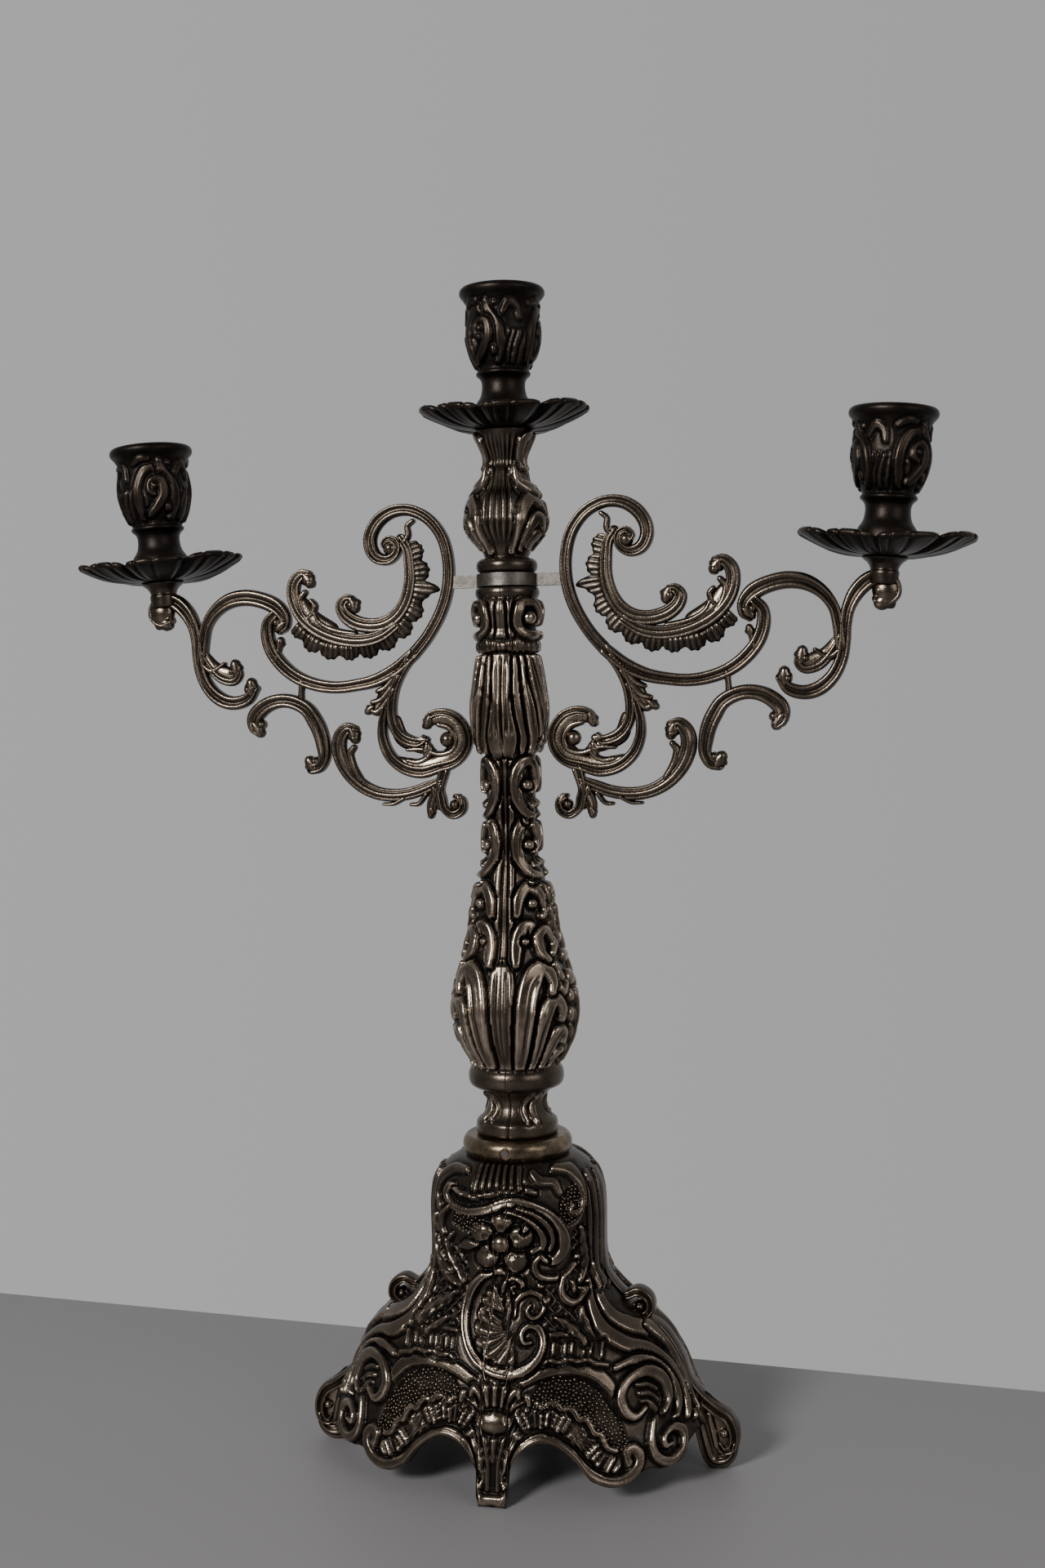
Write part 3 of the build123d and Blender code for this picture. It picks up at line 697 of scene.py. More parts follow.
cup = cup_shape()
pan = pan_shape()
for name, side in (("right", 1), ("left", -1)):
    place = (Matrix.Translation((side * arm_reach, 0, side_pan_level))
             @ Matrix.Rotation(side * cup_lean, 4, "Y"))
    turn = Matrix.Rotation(math.radians(70 * side), 4, "Z")
    pan.moved(place).piece(f"leafy_pan_{name}", dark_cup, "arms", "dark_cup", f"drip_pan_{name}")
    cup.moved(place @ Matrix.Translation((0, 0, pan_floor)) @ turn).piece(
        f"swirl_cup_{name}", dark_cup, "arms", "dark_cup", f"cup_{name}")
pan.moved(Matrix.Translation((0, 0, knop_top))).piece("leafy_pan_centre", dark_cup, "stand", "dark_cup",
                                                      "centre_drip_pan")
cup.moved(Matrix.Translation((0, 0, knop_top + pan_floor))).piece("swirl_cup_centre", dark_cup, "stand",
                                                                  "dark_cup", "centre_cup")


# ---- knop over the arm band ----
def draw_knop(relief):
    """Flutes that fall from the neck, over rolled shell lobes at the sides and a fluted stem."""
    k = knop_foot
    flutes = (((4, 51.8, 0.8), (4, 40, 0.7), (4, 28, 0.9), (4, 18, 0.9), (4, 6.8, 0.8)),
              ((15, 51.8, 0.8), (15, 42, 0.8), (15, 34, 0.9), (17, 25, 1.0), (16, 16, 1.0), (13, 6.8, 0.8)),
              ((27, 51.8, 0.8), (26, 44, 0.8), (26, 37, 0.9), (29, 31, 1.0), (36, 27, 0.9)),
              ((41, 51.8, 0.8), (38, 45, 0.8), (40, 38.4, 0.8), (52, 34.4, 0.9), (82, 32.4, 0.8)),
              ((24, 23, 0.8), (25, 16, 0.9), (21, 6.8, 0.8)),
              ((90, 51.8, 0.8), (90, 41, 0.8), (90, 33, 0.8)),
              ((78, 47, 0.7), (76, 41, 0.7), (80, 35, 0.7)))
    for turn in range(-360, 361, 180):
        for way in (-1, 1):

            def at(*points):
                """Points given as (degrees from the front, height over the knop's foot, width)."""
                return [(turn + way * degrees, k + level, width) for degrees, level, width in points]

            relief.rib(at((24, 7.4, 2.6), (31, 12, 3.4), (34, 18, 4.2), (42, 24, 5), (56, 26.6, 5.4),
                (72, 25, 5), (84, 20, 4)), 1.6, 0.5, 0.5)
            relief.rib(at((46, 8.6, 3), (49, 14, 4.2), (58, 19, 4.8), (70, 19.6, 4.6), (80, 15.4, 4)),
                1.5, 0.5, 0.5)
            relief.rib(at((62, 9.6, 3), (66, 13.2, 4.6), (74, 13.4, 3.6)), 1.2, 0.5, 0.5)
            relief.rib(at((30, 37.6, 3), (42, 33.4, 4.2), (60, 31, 4.8), (80, 29.4, 4.6)), 1.7, 0.4, 0.5)
            relief.rib(at((66, 38.6, 2.6), (56, 43.4, 3.4), (56, 48.6, 4.2), (70, 51, 3.6)), 1.3, 0.6, 0.4)
            for line in flutes:
                relief.groove(at(*line), 1.0)


def knop_shape():
    """Upper knop with its plain closing ring."""

    def up(*points):
        """Points given as (radius, height over the knop's foot)."""
        return [(radius, knop_foot + level) for radius, level in points]

    rows = outline_rows([
        [(0, knop_foot + 0.02), (10.0, knop_foot)],
        up((10, 0), (11.1, 1), (11.5, 2.6), (11.1, 4.2), (10, 5.2)),
        up((10, 5.2), (8.2, 5.6)),
        up((8.2, 5.6), (9.6, 9.5), (12, 12.5), (13.8, 15.5), (14.6, 18.9), (14.2, 22), (12.9, 27),
           (10.3, 31.1), (8.2, 37.2), (6.9, 40.2), (7.2, 43.2), (9.4, 48.3), (11, 52.8)),
        up((11, 52.8), (0, 52.82))], 0.5)
    shape = Shape()
    turned(shape, rows, 170, draw_knop, 0.46, 0.5)
    return shape


knop_shape().piece("acanthus_knop", cast_relief, "stand", "cast_relief", "upper_knop")


# ---- column ----
def draw_column(relief, start):
    """Decoration of one half of the column. start is the angle of its front seam's side."""
    c = collar_top
    rib = relief.rib
    leaf = relief.leaf
    dome = relief.dome
    groove = relief.groove
    side = start + 90
    for edge in (start, start + 180):
        way = 1 if edge == start else -1

        def at(*points):
            """Points given as (degrees from the seam, height over the collar, width)."""
            return [(edge + way * turn, c + level, width) for turn, level, width in points]

        # broad strap beside the joint, then a flat channel with a raised bead
        rib(at((4, 27, 5.6), (5, 40, 7.6), (5, 54, 7.2), (5, 66, 5)), 1.5, 0.8, 1)
        groove(at((4.6, 29, 0.8), (5.6, 42, 0.9), (5.6, 64, 0.8)), 0.8)
        rib(at((4, 69, 4.4), (6, 90, 3.8), (8, 112, 3.2), (8, 141, 3)), 0.5, 0.6, 1)
        rib(at((9.4, 68, 2), (11.4, 90, 2), (13.4, 112, 1.9), (14.4, 141, 1.7)), 1.6, 0.8, 0.4)
        # acanthus on the bulb: nested leaves that rise from the neck and curl over
        rib(at((68, 60, 3), (60, 64.6, 4.4), (58, 59.4, 4), (66, 55, 3.4), (74, 58, 2.6)), 2.2, 0.9, 0.3)
        rib(at((55, 27.2, 2.6), (61, 31.6, 3.8), (71, 33.6, 3)), 2, 1, 0.5)
        rib(at((43.6, 27, 3.2), (49, 35, 4.6), (57, 41.4, 5), (66, 40.6, 3.6), (67, 37, 2.6)), 2.4, 1, 0.5)
        groove(at((47.6, 29, 0.8), (53, 37, 0.9), (60, 41.6, 0.8)))
        rib(at((31, 27, 3.4), (35, 38, 5.2), (41, 48, 6), (52, 53, 5.6), (60.6, 49.6, 4.2), (59, 45.6, 3)),
            2.6, 1, 0.5)
        groove(at((34, 29, 0.8), (39, 41.6, 1.0), (48, 50.6, 0.9)))
        rib(at((17.6, 27, 3.8), (20, 40, 6.4), (24, 53, 7.8), (33, 62, 7.8), (46, 64, 6.2), (53, 59.4, 4.4),
            (50, 55.4, 3)), 2.8, 1, 0.5)
        groove(at((20, 30, 0.9), (23.6, 45, 1.0), (30, 57, 1.0), (40, 61.6, 0.9)))
        groove(at((27, 30, 0.8), (30, 42, 0.9), (35, 52, 0.9)), 0.8)
        for turn, level, size in ((76, 46.4, 2.6), (78, 53, 2.2)):
            dome(edge + way * turn, c + level, size, size * 1.3, 2.3, 0, 0.9)
        # rolled leaves over the bulb
        rib(at((15, 66, 3.4), (17, 73, 4.8), (25, 79, 5.2), (36, 80, 4), (38, 76, 2.6)), 2.3, 0.9, 0.4)
        rib(at((54, 67, 3), (45, 70.4, 4.4), (46, 76, 4.4), (60, 78, 4), (70, 73, 3.2), (63, 69, 2.6)),
            2.3, 0.9, 0.3)
        rib(at((18, 84, 2.8), (22, 90, 4.2), (36, 94, 4.6), (54, 91.6, 4.4), (64, 86, 3.2), (56, 83, 2.6)),
            2.2, 0.9, 0.4)
        leaf(at((70, 94, 2.4), (76, 88, 4.2), (84, 82, 2.6)), 1.9, 3)
        for turn, level, size in ((28, 74, 1.7), (42, 88, 2.2)):
            dome(edge + way * turn, c + level, size, size, 2.4, 0, 0.9)
        # running scrolls up the shaft
        for low in (105, 127.4):
            leaf(at((46, low - 9, 2.6), (60, low - 4, 4.4), (84, low - 2, 3.0)), 1.7, 3)
            rib(at((66, low - 7, 2.6), (44, low - 5.6, 3.8), (26, low, 4.2), (25, low + 8, 4.4),
                (42, low + 13.4, 4.4), (68, low + 12, 3.8), (76, low + 6, 3), (62, low + 2.4, 2.6)),
                2, 0.9, 0.4)
            groove(at((30, low - 1, 0.7), (30, low + 7, 0.8), (46, low + 11.6, 0.8)), 0.7)
            dome(edge + way * 49, c + low + 4.6, 2.3, 2.3, 2.5, 0, 0.9)
        # neck cartouches
        rib(at((30, 6.6, 1.6), (26, 10.5, 2), (34, 14.5, 1.8), (44, 16.2, 1.6)), 1, 0.6)
        rib(at((46, 6.2, 1.8), (40, 10, 2.2), (46, 14, 1.8), (60, 15.8, 1.6)), 1.1, 0.6)
        # leaf sleeve: long strands that fall to a drooping scalloped hem
        rib(at((84, 179, 3.2), (84, 168, 4.6), (84, 156, 4.8), (86, 148.4, 3)), 1.5, 0.9, 0.6)
        rib(at((66, 179, 2.8), (70, 168, 3.8), (74, 158, 4), (74, 148, 2.6)), 1.9, 0.9, 0.5)
        rib(at((48, 179, 2.8), (54, 170, 4.2), (62, 161, 4.8), (66, 153, 4.2), (60, 149.4, 3)),
            2.3, 0.9, 0.4)
        rib(at((33, 179, 2.8), (37, 168, 4), (46, 157, 4.8), (52, 150, 4.4), (50, 145.4, 2.6)),
            2.2, 0.9, 0.5)
        rib(at((20, 179, 2.8), (22, 166, 3.6), (28, 154, 4.2), (34, 148.6, 3.6), (34, 145, 2)),
            1.7, 0.9, 0.6)
        rib(at((5, 180, 4), (5, 168, 4.2), (7, 158, 4.8), (10, 150, 6.4), (10, 146, 5.4)), 1.9, 0.9, 1)
        groove(at((0.5, 180, 0.7), (0.5, 160, 0.7), (0.5, 146, 0.7)), 1.1)
        groove(at((7, 178, 0.7), (6, 166, 0.8), (8, 156, 0.9), (5, 149, 0.7)), 1.0)
        groove(at((14, 170, 0.6), (13, 160, 0.8), (18, 150, 0.8)), 0.9)
        groove(at((40, 176, 0.7), (44, 165, 0.8), (54, 153, 0.8)), 0.9)
        # smooth collar between the sleeve and the vase, cut by a few upright lines
        rib(at((0, 184.4, 5.4), (45, 184, 5.6), (90, 184.4, 5.4)), 0.9, 0.9, 1.6)
        for turn in (9, 22, 58, 76):
            groove(at((turn, 181.4, 0.6), (turn + 1, 187, 0.7)), 0.7)
        # upper vase: broad upright straps, then a rolled scroll with a ball
        rib(at((4, 187.8, 3.4), (4, 199.8, 3.6)), 1.3, 0.7, 1)
        rib(at((20, 187.8, 2.6), (18, 199.8, 3)), 1.2, 0.7, 0.8)
        rib(at((82, 187.8, 3), (56, 187.6, 3.6), (36, 189.6, 3.8), (30, 194, 3.8), (38, 199, 3.8),
            (62, 199.8, 3.4), (77, 196.6, 3), (74, 192.4, 2.4)), 2, 0.9, 0.4)
        dome(edge + way * 55, c + 194, 2.8, 2.8, 2.9, 0, 1.0)
    # the middle of each half
    leaf([(side, c + 28, 4.0), (side, c + 38, 7.0), (side, c + 47, 7.0), (side, c + 54, 3.4)], 2.3, 4)
    for level, size in ((59.4, 3.4), (67.6, 2.8), (92.6, 2.6)):
        dome(side, c + level, size * 1.2, size, 2.6, 0, 0.9)
    for way in (-1, 1):
        leaf([(side + way * 4, c + 73, 2.6), (side + way * 12, c + 79, 5), (side + way * 18, c + 86, 3)],
            1.9, 3)
    dome(side, c + 11.5, 2.2, 3.6, 0.8)
    # fine joint line in the plain mouldings
    near = np.minimum(np.abs(relief.across - start), np.abs(relief.across - start - 180)) * relief.scale
    low = relief.up < c + 27
    relief.height = np.where(low & (near < 0.45), relief.height - 0.35, relief.height)


def column_half(side):
    """One cast half of the column, closed by a flat face on the middle plane."""
    c = collar_top
    journal = band_foot - 0.3
    neck = 9.6

    def up(*points):
        """Points given as (radius, height over the collar)."""
        return [(radius, c + level) for radius, level in points]

    rows = outline_rows([
        up((12.9, -5.4), (13, 0)),
        up((13, 0), (15, 0.2), (15.4, 1), (15.4, 4), (15.1, 5.2)),
        up((15.1, 5.2), (12.4, 8), (10.9, 12.5), (13.2, 17.5)),
        up((13.2, 17.5), (15.6, 17.9), (17.6, 19.4), (18.1, 22.2), (17.6, 24.6), (16.3, 26.2)),
        up((16.3, 26.2), (16.4, 29.5), (20, 36.5), (22, 44), (22.2, 51), (19.2, 64), (15.6, 76.5),
           (14, 88.5), (11.7, 98.1), (10, 104.5), (9.7, 113.5), (9, 119.5), (9.5, 132.5), (9.4, 139.5),
           (9.6, 143.6)),
        up((9.6, 143.6), (11.2, 144.4), (11.7, 147), (12.2, 152.5), (12.9, 160.5), (12.4, 167),
           (11, 177), (10.2, 181.1)),
        up((10.2, 181.1), (11, 182.4), (11.2, 187.2), (10.7, 190.3), (11.8, 196.5), (11, 200.7)),
        [(11.0, c + 200.7), (11.0, journal - 4.2)],
        [(11.0, journal - 4.2), (11.7, journal - 3.6), (12.1, journal - 2.05), (11.7, journal - 0.5),
         (11.0, journal)],
        [(11.0, journal), (neck, journal)],
        [(neck, journal), (neck, knop_foot)]], 0.62)
    columns = 150
    start = 0 if side == 1 else -180
    degrees = np.linspace(start, start + 180, columns)
    across, up = np.meshgrid(degrees, rows[:, 1])
    scale = np.broadcast_to(rows[:, :1] * math.pi / 180, across.shape)
    relief = Relief(across, up, scale)
    draw_column(relief, start)
    plain = (up > journal - 4.3) | (up < c + 1) | ((up > c + 17.2) & (up < c + 26.8))
    relief.height = np.where(plain, 0, relief.height)
    height = relief.blurred(1)
    points = turned_sheet(rows, degrees, height)
    points[:, 0, 0] = 0
    points[:, -1, 0] = 0
    rub = relief.rub(0.5, 0.44, 12)
    worn = (up < c + 27) | (up > journal - 4.3)
    rub = np.where(worn, rub * 0.7 + 0.22, rub)
    count = len(rows)
    quads = grid_faces(count, columns)
    front = [row * columns for row in range(count)]
    back = [row * columns + columns - 1 for row in reversed(range(count))]
    foot = list(reversed(range(columns)))
    top = [(count - 1) * columns + column for column in range(columns)]
    ends = [np.array([front + back]), np.array([foot]), np.array([top])]
    shape = Shape()
    shape.add(points.reshape(-1, 3), [quads, *ends], rub.reshape(-1))
    return shape


column_half(1).piece("column_casting_right", cast_relief, "stand", "cast_relief", "column_half_right")
column_half(-1).piece("column_casting_left", cast_relief, "stand", "cast_relief", "column_half_left")


# ---- base ----
def base_levels():
    """Half length and half depth of the base's oval at every level."""
    rows = [(0, 75.5, 50), (10, 75.1, 48.2), (20, 71.6, 46.1), (30, 66.1, 43.9), (40, 62.2, 41.5),
            (50, 55.8, 38), (60, 44.4, 34), (66, 38.2, 32), (72, 34, 30.4), (80, 32.6, 29.5),
            (98, 32.6, 29.5), (107, 31.2, 28.5), (112, 27.8, 26), (115, 23.5, 22.8), (116, 21.2, 21.2)]
    levels = smooth(rows, 0.5)
    return levels[np.argsort(levels[:, 0])]


base_table = base_levels()


def base_size(level):
    """Half length and half depth at a level."""
    return (np.interp(level, base_table[:, 0], base_table[:, 1]),
            np.interp(level, base_table[:, 0], base_table[:, 2]))


def beside_edge(levels, side, inset, width):
    """Points a little inside the base's outline on one side."""
    return [(side * (float(base_size(level)[0]) - inset), level, width) for level in levels]


edge_points = [(5.9, 12), (9, 18.5), (15, 22), (22, 21.6), (29, 16.5), (35, 9.5), (41, 6.6), (47, 7),
               (51.5, 10.5), (54.5, 11.4), (58, 10.6), (62, 11), (66, 16), (69, 19)]
edge_line = smooth(edge_points, 0.3)
edge_line = edge_line[np.argsort(edge_line[:, 0])]


def edge_level(x):
    """Height of the base's lower edge over the table."""
    x = np.abs(x)
    level = np.interp(x, edge_line[:, 0], edge_line[:, 1])
    return np.where(x < 5.9, np.clip((x - 5.2) / 0.7, 0, 1) * 12, level)


def draw_base(relief):
    """Decoration of the base's front: drawn from the middle foot up to the collar."""
    rib = relief.rib
    dome = relief.dome
    leaf = relief.leaf
    relief.bolder = 1.3
    half_length = base_size(relief.up)[0]
    # fields first, so that the mouldings lie over them
    low_field = [(13, 34), (15, 41), (20, 44), (26, 44), (33, 42), (38, 37.5), (42, 32), (45.5, 25),
        (47, 20), (45, 18), (41, 21), (37, 25), (32, 29.5), (26, 33.5), (20, 33.5)]
    pebble_fields = [
        low_field,
        [(-x, z) for x, z in low_field],
        [(20, 96), (21, 104), (25, 109), (28, 104), (27.5, 97), (24, 94)],
        [(-20, 94), (-19, 98.5), (-12, 99), (-6, 97), (-8, 93.5), (-14, 92)],
    ]
    pebbles = np.zeros(relief.up.shape, bool)
    for outline in pebble_fields:
        pebbles |= relief.sink(outline, 0.9)
    relief.lattice([(-30, 56), (-14, 58), (-14, 84), (-24, 84), (-30, 72)], 4.4, 0.5)
    relief.lattice([(14, 57), (30, 54), (32, 66), (24, 72), (15, 71)], 4.4, 0.5)
    relief.lattice([(24, 76), (31, 76), (31, 92), (25, 92)], 3.8, 0.5)
    # rubbed frame over the pebbled fields
    for way in (-1, 1):

        def at(*points):
            """Points given on one side as (distance from the middle, height, width)."""
            return [(way * x, z, width) for x, z, width in points]

        rib(at((3, 41.5, 2.4), (9, 42.2, 3), (14, 44.6, 3.4), (20, 46.4, 3.6), (27, 46.8, 3.6),
            (34, 45, 3.6), (39, 41, 3.4), (42, 37, 2.6)), 1.5, 0.9, 1)
        # rope mouldings along the lower edge
        low = [(5.6, 3), (6, 12), (9.6, 19.6), (15, 23.2), (22, 23), (29, 18.2), (35, 11.2), (41, 8.4),
            (46, 8.6), (50, 12), (50.6, 16), (48, 18.4), (45.8, 16.6), (46.8, 14.2)]
        rib([(way * x, z + 0.5, 3) for x, z in low], 2.2, 0.3, 0.8)
        relief.groove([(way * x, z + 0.9, 0.7) for x, z in low[:11]], 0.7)
        high = [(3.9, 6), (4.2, 14), (7.6, 21.6), (13.4, 26), (21, 26), (29, 21.6), (35.5, 14.8),
            (41, 11.8), (44.5, 12.4)]
        rib([(way * x, z + 0.8, 1.7) for x, z in high], 1.7, 0.6, 0.4)
        # slatted band between the rope mouldings and the pebbled field
        middle = [(8.6, 26.6), (11.4, 29.4), (15.6, 30.6), (20.4, 30.4), (25.4, 28.4), (30, 25),
            (34.4, 20.8), (38.4, 16.8), (42.6, 14.2)]
        band = smooth([(way * x, z) for x, z in middle], 0.5)
        rib([(x, z, 5.4) for x, z in band[::4]], 1.3, 0.5, 1.6)
        gaps = np.gradient(band, axis=0)
        gaps /= np.linalg.norm(gaps, axis=1, keepdims=True)
        for index, place in enumerate(np.arange(2, len(band) - 2, 3.7)):
            x, z = band[int(place)]
            gx, gz = gaps[int(place)]
            if index % 4 == 3:
                continue
            tall, thick = ((3.0, 1.1), (3.6, 1.6), (3.0, 1.1))[index % 4]
            rib([(x - gz * way * tall, z + gx * way * tall, thick),
                (x + gz * way * tall * 0.8, z - gx * way * tall * 0.8, thick)], 2.2, 0.7)
        # little lobes on the upper side of the slatted band
        crest = [(11.6, 33.4), (13.4, 35.4), (15.6, 35.4), (17.4, 34.2), (19.4, 35.6), (22, 35.4),
            (23.8, 33.4), (26, 33.8), (28.4, 32.4), (29.8, 29.8), (32.2, 29.8), (34, 27.6), (35.4, 25),
            (37.6, 24.4), (39, 21.8), (40.4, 19.6), (43, 18.8)]
        rib([(way * x, z, 1.7) for x, z in crest], 1.6, 0.7, 0.4)
        # petals of the shell over the middle foot
        for x, z, size in ((11.5, 37.5, 2.6), (7.8, 39.6, 2.2)):
            rib(at((3, 31, 1.4), (x - 4, 35, 2), (x, z, size), (x + 1, z - 2.4, 1.6)), 2, 0.6)
        rib(at((1.3, 31, 1.2), (2.6, 36, 1.8), (3.6, 41, 2.2)), 2, 0.6)
        # volutes beside the middle foot
        rib(spiral(way * 8.0, 9.5, 2.6, 120 if way > 0 else 60, way * 1.2, 1.6), 1.2)
        # long strands that sweep from the waist to the end foot
        leaf(at((26.4, 69, 1.8), (29.2, 62, 3.2), (34.4, 57, 3.6), (40, 53.4, 2.4)), 1.7, 3)
        rib(at((30, 78, 1.6), (33, 66.6, 2.4), (38, 60, 3), (46, 55.2, 3.2), (54.6, 51, 3.2),
            (61.2, 42.8, 3), (65.4, 32, 2.8), (67.6, 23.6, 2.2)), 2.3, 0.9, 0.4)
        rib(at((28.6, 73, 1.6), (31, 64.8, 2.4), (35.8, 57.4, 3), (43, 52.2, 3.2), (51.4, 48.2, 3.2),
            (58.2, 41.6, 2.8), (63, 33, 2.6), (65.4, 24.6, 2)), 2.1, 0.9, 0.4)
        # corner scroll: an outer strand, the scroll itself and the leafy slats in it
        rib(at((41.4, 45.4, 2), (47.6, 46.6, 2.6), (54.6, 42.8, 2.8), (60, 35.4, 2.8), (62.2, 28.2, 2.4),
            (61, 23, 1.8)), 2, 0.9, 0.4)
        for bx, bz, ex, ez in ((49, 39, 55, 36), (50, 36, 55.6, 32.4), (51, 33, 55.4, 29.4)):
            rib(at((bx, bz, 1.5), ((bx + ex) / 2, (bz + ez) / 2 + 0.8, 2), (ex, ez, 1.6)), 1.3, 0.6)
        rib(at((51.4, 30.6, 2), (48.4, 28.6, 2.4), (45, 31.4, 2.8), (43.6, 36.6, 3), (46.2, 41.2, 3),
            (51.6, 42.4, 3), (56.6, 38.6, 2.8), (58.8, 32.4, 2.4), (57.8, 28.4, 1.8)), 2.4, 0.9, 0.4)
        # spiral under the corner
        rib(at((54.4, 26.4, 1.8), (54.4, 19.4, 2.4), (56.6, 14.6, 2.6), (60.8, 12.6, 2.8),
            (64.4, 15.6, 2.6), (64.2, 20.6, 2.4), (61, 22.8, 2.2), (58.2, 20.6, 1.9), (59, 17.6, 1.7),
            (60.8, 18, 1.3)), 2.3, 0.9, 0.3)
        # mouldings down the sides of the waist
        for inset, thick in ((0.35, 1.6), (1.5, 1.5), (3.0, 1.3)):
            rib(beside_edge((111, 106, 98, 90, 82, 75, 69), way, inset, thick), 1.2)
        rib(beside_edge((56, 50, 44, 38, 32, 26, 20), way, 0.5, 2), 1.4, 0.6)
        # slatted field over the frame, in pairs
        for x in (17.6, 19.8, 24, 26.2, 30.4, 32.6, 36.4):
            rib(at((x, 49.6 - abs(x - 26) * 0.12, 1.3), (x, 54.6 - abs(x - 20) * 0.08, 1.4)), 1.5, 0.7)
        rib(at((15.6, 57.2, 1.3), (24, 57.2, 1.4), (31, 55.6, 1.2)), 1.1)
        rib(at((16.4, 48.4, 1.4), (19, 49.4, 1.2), (22, 48.6, 1.4), (25.4, 49.4, 1.2), (28.6, 48.6, 1.4),
            (32, 48.8, 1.2), (35.2, 47.4, 1.4), (39, 46.6, 1.2)), 1.3)
    # ribs of the middle foot
    rib([(0, 8, 1.2), (0, 16, 1.3), (0, 23, 1.6)], 1.6, 0.6)
    rib([(-1.9, 5, 1.2), (-1.9, 14, 1.2), (-3.8, 24, 1.2)], 1.2)
    rib([(1.9, 5, 1.2), (1.9, 14, 1.2), (3.8, 24, 1.2)], 1.2)
    rib([(-6, 3, 3.6), (-3, 2.2, 3), (0, 2.6, 2.6), (3, 2.2, 3), (6, 3, 3.6)], 1.9, 0.5, 0.8)
    rib([(0, 31, 1.4), (0, 36, 1.8), (0, 41, 2.2)], 2, 0.6)
    rib([(-6, 43.6, 1.2), (0, 42.6, 1.4), (6, 43.6, 1.2)], 1, 0.3)
    dome(0, 28.4, 6.6, 4.0, 2.7, 0, 0.8)
    # cartouche with its shell
    relief.fan(4.8, 59.4, 2.2, 13.6, 146, 280, 6, 3.2, 1.8)
    relief.fan(4.2, 64.4, 2.2, 11.6, 122, 176, 3, 2.8, 1.0)
    rib([(2.6, 67.6, 1.2), (5.4, 71.4, 1.9), (7.6, 75.2, 2.2), (3.4, 78.8, 2.4), (-2.6, 78.8, 2.4),
        (-8.2, 75.4, 2.5), (-11.8, 69, 2.6), (-13, 60.6, 2.6), (-10.6, 52.4, 2.6), (-5.4, 47, 2.8),
        (2.4, 44.6, 3), (9.6, 45.8, 2.8), (14.6, 49.6, 2.5), (16.2, 54.8, 2.2), (14.2, 59.4, 2),
        (10.6, 60.2, 1.8), (8.4, 57.6, 1.6), (9.4, 54.8, 1.4), (11.8, 54.8, 1.3)], 2.5, 0.9, 0.5)
    relief.groove([(5.4, 71.4, 0.5), (7, 75.2, 0.6), (3.4, 78.2, 0.7), (-2.6, 78.2, 0.7), (-7.8, 75, 0.7),
        (-11.3, 69, 0.8), (-12.5, 60.6, 0.8), (-10.2, 52.7, 0.8), (-5.2, 47.5, 0.8), (2.4, 45.2, 0.8),
        (9.4, 46.4, 0.7), (14.1, 50, 0.6)], 0.8)
    rib(spiral(5.2, 73, 4.4, 200, -1.3, 1.6), 1.9, 0.6)
    rib([(5.4, 63.6, 1.4), (5.8, 68.6, 1.7), (10.2, 71.6, 1.9), (14.6, 69.6, 1.8), (15.4, 65.4, 1.7),
        (12.4, 62.6, 1.5), (9.6, 64.8, 1.3), (10.8, 67.2, 1.1)], 1.9, 0.6)
    rib([(2.8, 60.6, 1.3), (3.6, 66, 1.5), (2.8, 70.4, 1.5)], 1.4)
    dome(14.2, 74.0, 1.8, 1.8, 1.9)
    dome(16.6, 68.4, 1.6, 1.6, 1.7)
    # flower
    petals = ((0.5, 97, 90), (-6.8, 92.2, 165), (-5.0, 84.2, 225), (5.4, 83.4, 300), (7.4, 91.6, 15))
    for x, z, turn in petals:
        dome(x, z, 4.9, 4.3, 2.6, turn, 0.8)
    for x, z in ((0.4, 95), (-5.2, 91.6), (-3.9, 85.4), (4.3, 84.9), (5.7, 91.2)):
        relief.groove([(x - 1.2, z, 2.0), (x, z + 0.2, 2.4), (x + 1.2, z, 2.0)], 0.9)
    dome(0, 89, 3.4, 3.4, 3.2, 0, 1.2)
    rib([(-9, 88, 1.4), (-12.6, 87.4, 3.6), (-16, 86.4, 1.6)], 1.6, 0.6, lines=2)
    rib([(8.6, 94, 1.2), (10.8, 96.6, 3), (12.4, 99, 1.2)], 1.6, 0.6, lines=2)
